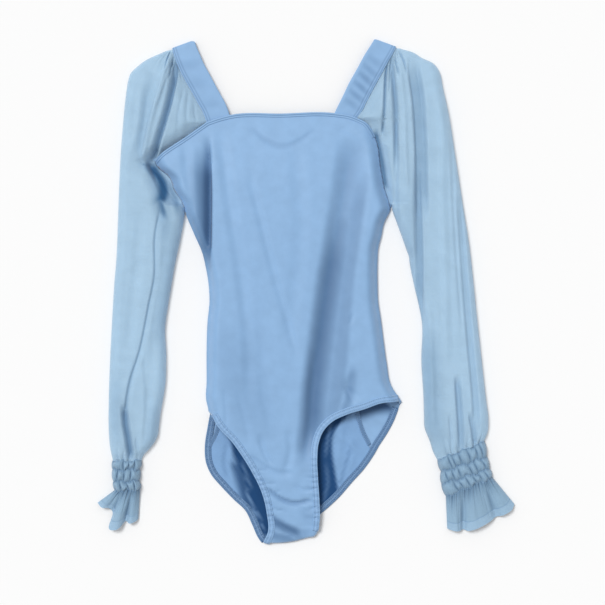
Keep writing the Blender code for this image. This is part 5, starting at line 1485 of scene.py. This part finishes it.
def make_cuff(side, material, hem_material, thread):
    """A shirred cuff with its ruffle: puffs between the elastic rows, broken by gathers, and a wavy hem."""
    elastics = len(ELASTICS[side])
    rings, shades = zip(*[cuff_section(side, step) for step in range((elastics - 1) * PUFF_FINE + 1)])
    rings = np.array(list(rings) + ruffle_rings(side, rings[-1]))
    shade = np.concatenate(list(shades) + ruffle_shades(side, shades[-1]))
    faces = strip_faces(len(rings), rings.shape[1], True)
    cloth = ring_cloth(rings, CUFF_PITCH)
    piece = add_mesh(f"cuff_{side}_mesh", rings.reshape(-1, 3), faces, material, cloth, 0, shade)
    rows = [elastic_thread(f"cuff_{side}_elastic_{number}", rings[number * PUFF_FINE], thread)
            for number in range(elastics)]
    rows.append(ruffle_hem_band(side, rings, hem_material))
    rows.append(elastic_thread(f"cuff_{side}_hem_stitch", rings[-HEM_RINGS], thread))
    return piece, rows


def make_floor():
    """A plain pale floor."""
    bpy.ops.mesh.primitive_plane_add(size=STAGE_SIZE)
    floor = bpy.context.object
    floor.name = "floor"
    paint = bpy.data.materials.new("floor_paint")
    paint.use_nodes = True
    shader = paint.node_tree.nodes["Principled BSDF"]
    shader.inputs["Base Color"].default_value = FLOOR_COLOUR
    shader.inputs["Roughness"].default_value = 0.9
    shader.inputs["Specular IOR Level"].default_value = 0.1
    floor.data.materials.append(paint)


def make_light():
    """Soft studio light: a white surround and one broad lamp."""
    world = bpy.data.worlds.new("studio")
    bpy.context.scene.world = world
    world.use_nodes = True
    surround = world.node_tree.nodes["Background"]
    surround.inputs["Color"].default_value = (1, 1, 1, 1)
    surround.inputs["Strength"].default_value = WORLD_LIGHT
    lamp = bpy.data.lights.new("key", "SUN")
    lamp.energy = SUN_POWER
    lamp.angle = math.radians(SUN_SPREAD)
    holder = bpy.data.objects.new("key", lamp)
    holder.location = SUN_FROM
    holder.rotation_euler = (-Vector(SUN_FROM)).to_track_quat("-Z", "Y").to_euler()
    bpy.context.scene.collection.objects.link(holder)


def make_camera():
    """A camera straight above, with the colours as they are."""
    lens = bpy.data.cameras.new("above")
    lens.lens = LENS
    lens.sensor_width = SENSOR
    eye = bpy.data.objects.new("above", lens)
    distance = PHOTO_WIDTH * LENS / SENSOR + MID_HEIGHT
    eye.location = np.array([PHOTO_CENTRE[0] - MIDDLE[0], PHOTO_CENTRE[1] - MIDDLE[1], distance]) * MM
    bpy.context.scene.collection.objects.link(eye)
    bpy.context.scene.camera = eye
    bpy.context.scene.view_settings.view_transform = "Standard"
    bpy.context.scene.view_settings.look = "None"


def make_trims(trim, thread):
    """The bindings, the leg hems and the seams inside: those on the front, and those on the back."""
    front_runs, back_runs = front_edges(), back_edges()
    left_under, right_under = under_leg_edges()
    front_neck_binding = make_binding("binding_front", on_front, front_runs["neck"], trim)
    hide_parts("neck_binding_front")
    back_neck_binding = make_binding("binding_back", on_back, back_runs["neck"][2:-2], trim)
    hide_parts("neck_binding_back")
    on_front_cloth, on_back_cloth = [front_neck_binding], [back_neck_binding]
    # The hems on the back are given painted shade all over
    hems = [("leg_hem_left_front", on_front, front_runs["left_leg"], on_front_cloth, 0),
            ("leg_hem_right_front", on_front, front_runs["right_leg"], on_front_cloth, 0),
            ("leg_hem_left_back", on_back, left_under[HEM_START:], on_back_cloth, UNDER_SHADE),
            ("leg_hem_right_back", on_back, right_under[:-HEM_START], on_back_cloth, UNDER_SHADE)]
    for node, place, run, group, shade in hems:
        piece, rows = make_hem(f"{node}_cloth", place, run, trim, thread, shade)
        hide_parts(node)
        group += [piece] + rows
    for name, path in (("seam_right", RIGHT_SEAM_SHOWN), ("seam_left", LEFT_SEAM_SHOWN)):
        piece, rows = make_inner_seam(name, path, trim, thread)
        on_back_cloth += [piece] + rows
    return on_front_cloth, on_back_cloth


def make_arm(side, knit, sheer, shirred, thread):
    """A sleeve with its strap and its cuff."""
    sleeve = make_sleeve(side, sheer)
    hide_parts(f"sleeve_{side}")
    strap, rows = make_strap(side, knit, thread)
    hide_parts(f"strap_{side}")
    cuff, rows = make_cuff(side, shirred, sheer, thread)
    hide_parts(f"cuff_{side}")


def main():
    knit = knit_material("light_blue_knit", BODY_COLOUR, 0.5, 0.3)
    inside_knit = knit_material("inside_knit", INSIDE_COLOUR, 0.65, 0.05, gloss=0.15)
    trim = knit_material("binding_knit", BODY_COLOUR, 0.45, 0.3, pitch=0.0006)
    thread = knit_material("blue_thread", THREAD_COLOUR, 0.5, 0.2, pitch=0.0003)
    sheer = mesh_material("sheer_mesh", SHEER_COLOUR, 0.62)
    shirred = mesh_material("shirred_mesh", SHIRRED_COLOUR, 0.82)
    front, back = make_front(knit), make_back(inside_knit)
    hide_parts("front_panel")
    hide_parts("back_panel")
    on_front_cloth, on_back_cloth = make_trims(trim, thread)
    for side in ("left", "right"):
        make_arm(side, knit, sheer, shirred, thread)
    make_floor()
    make_light()
    make_camera()


main()
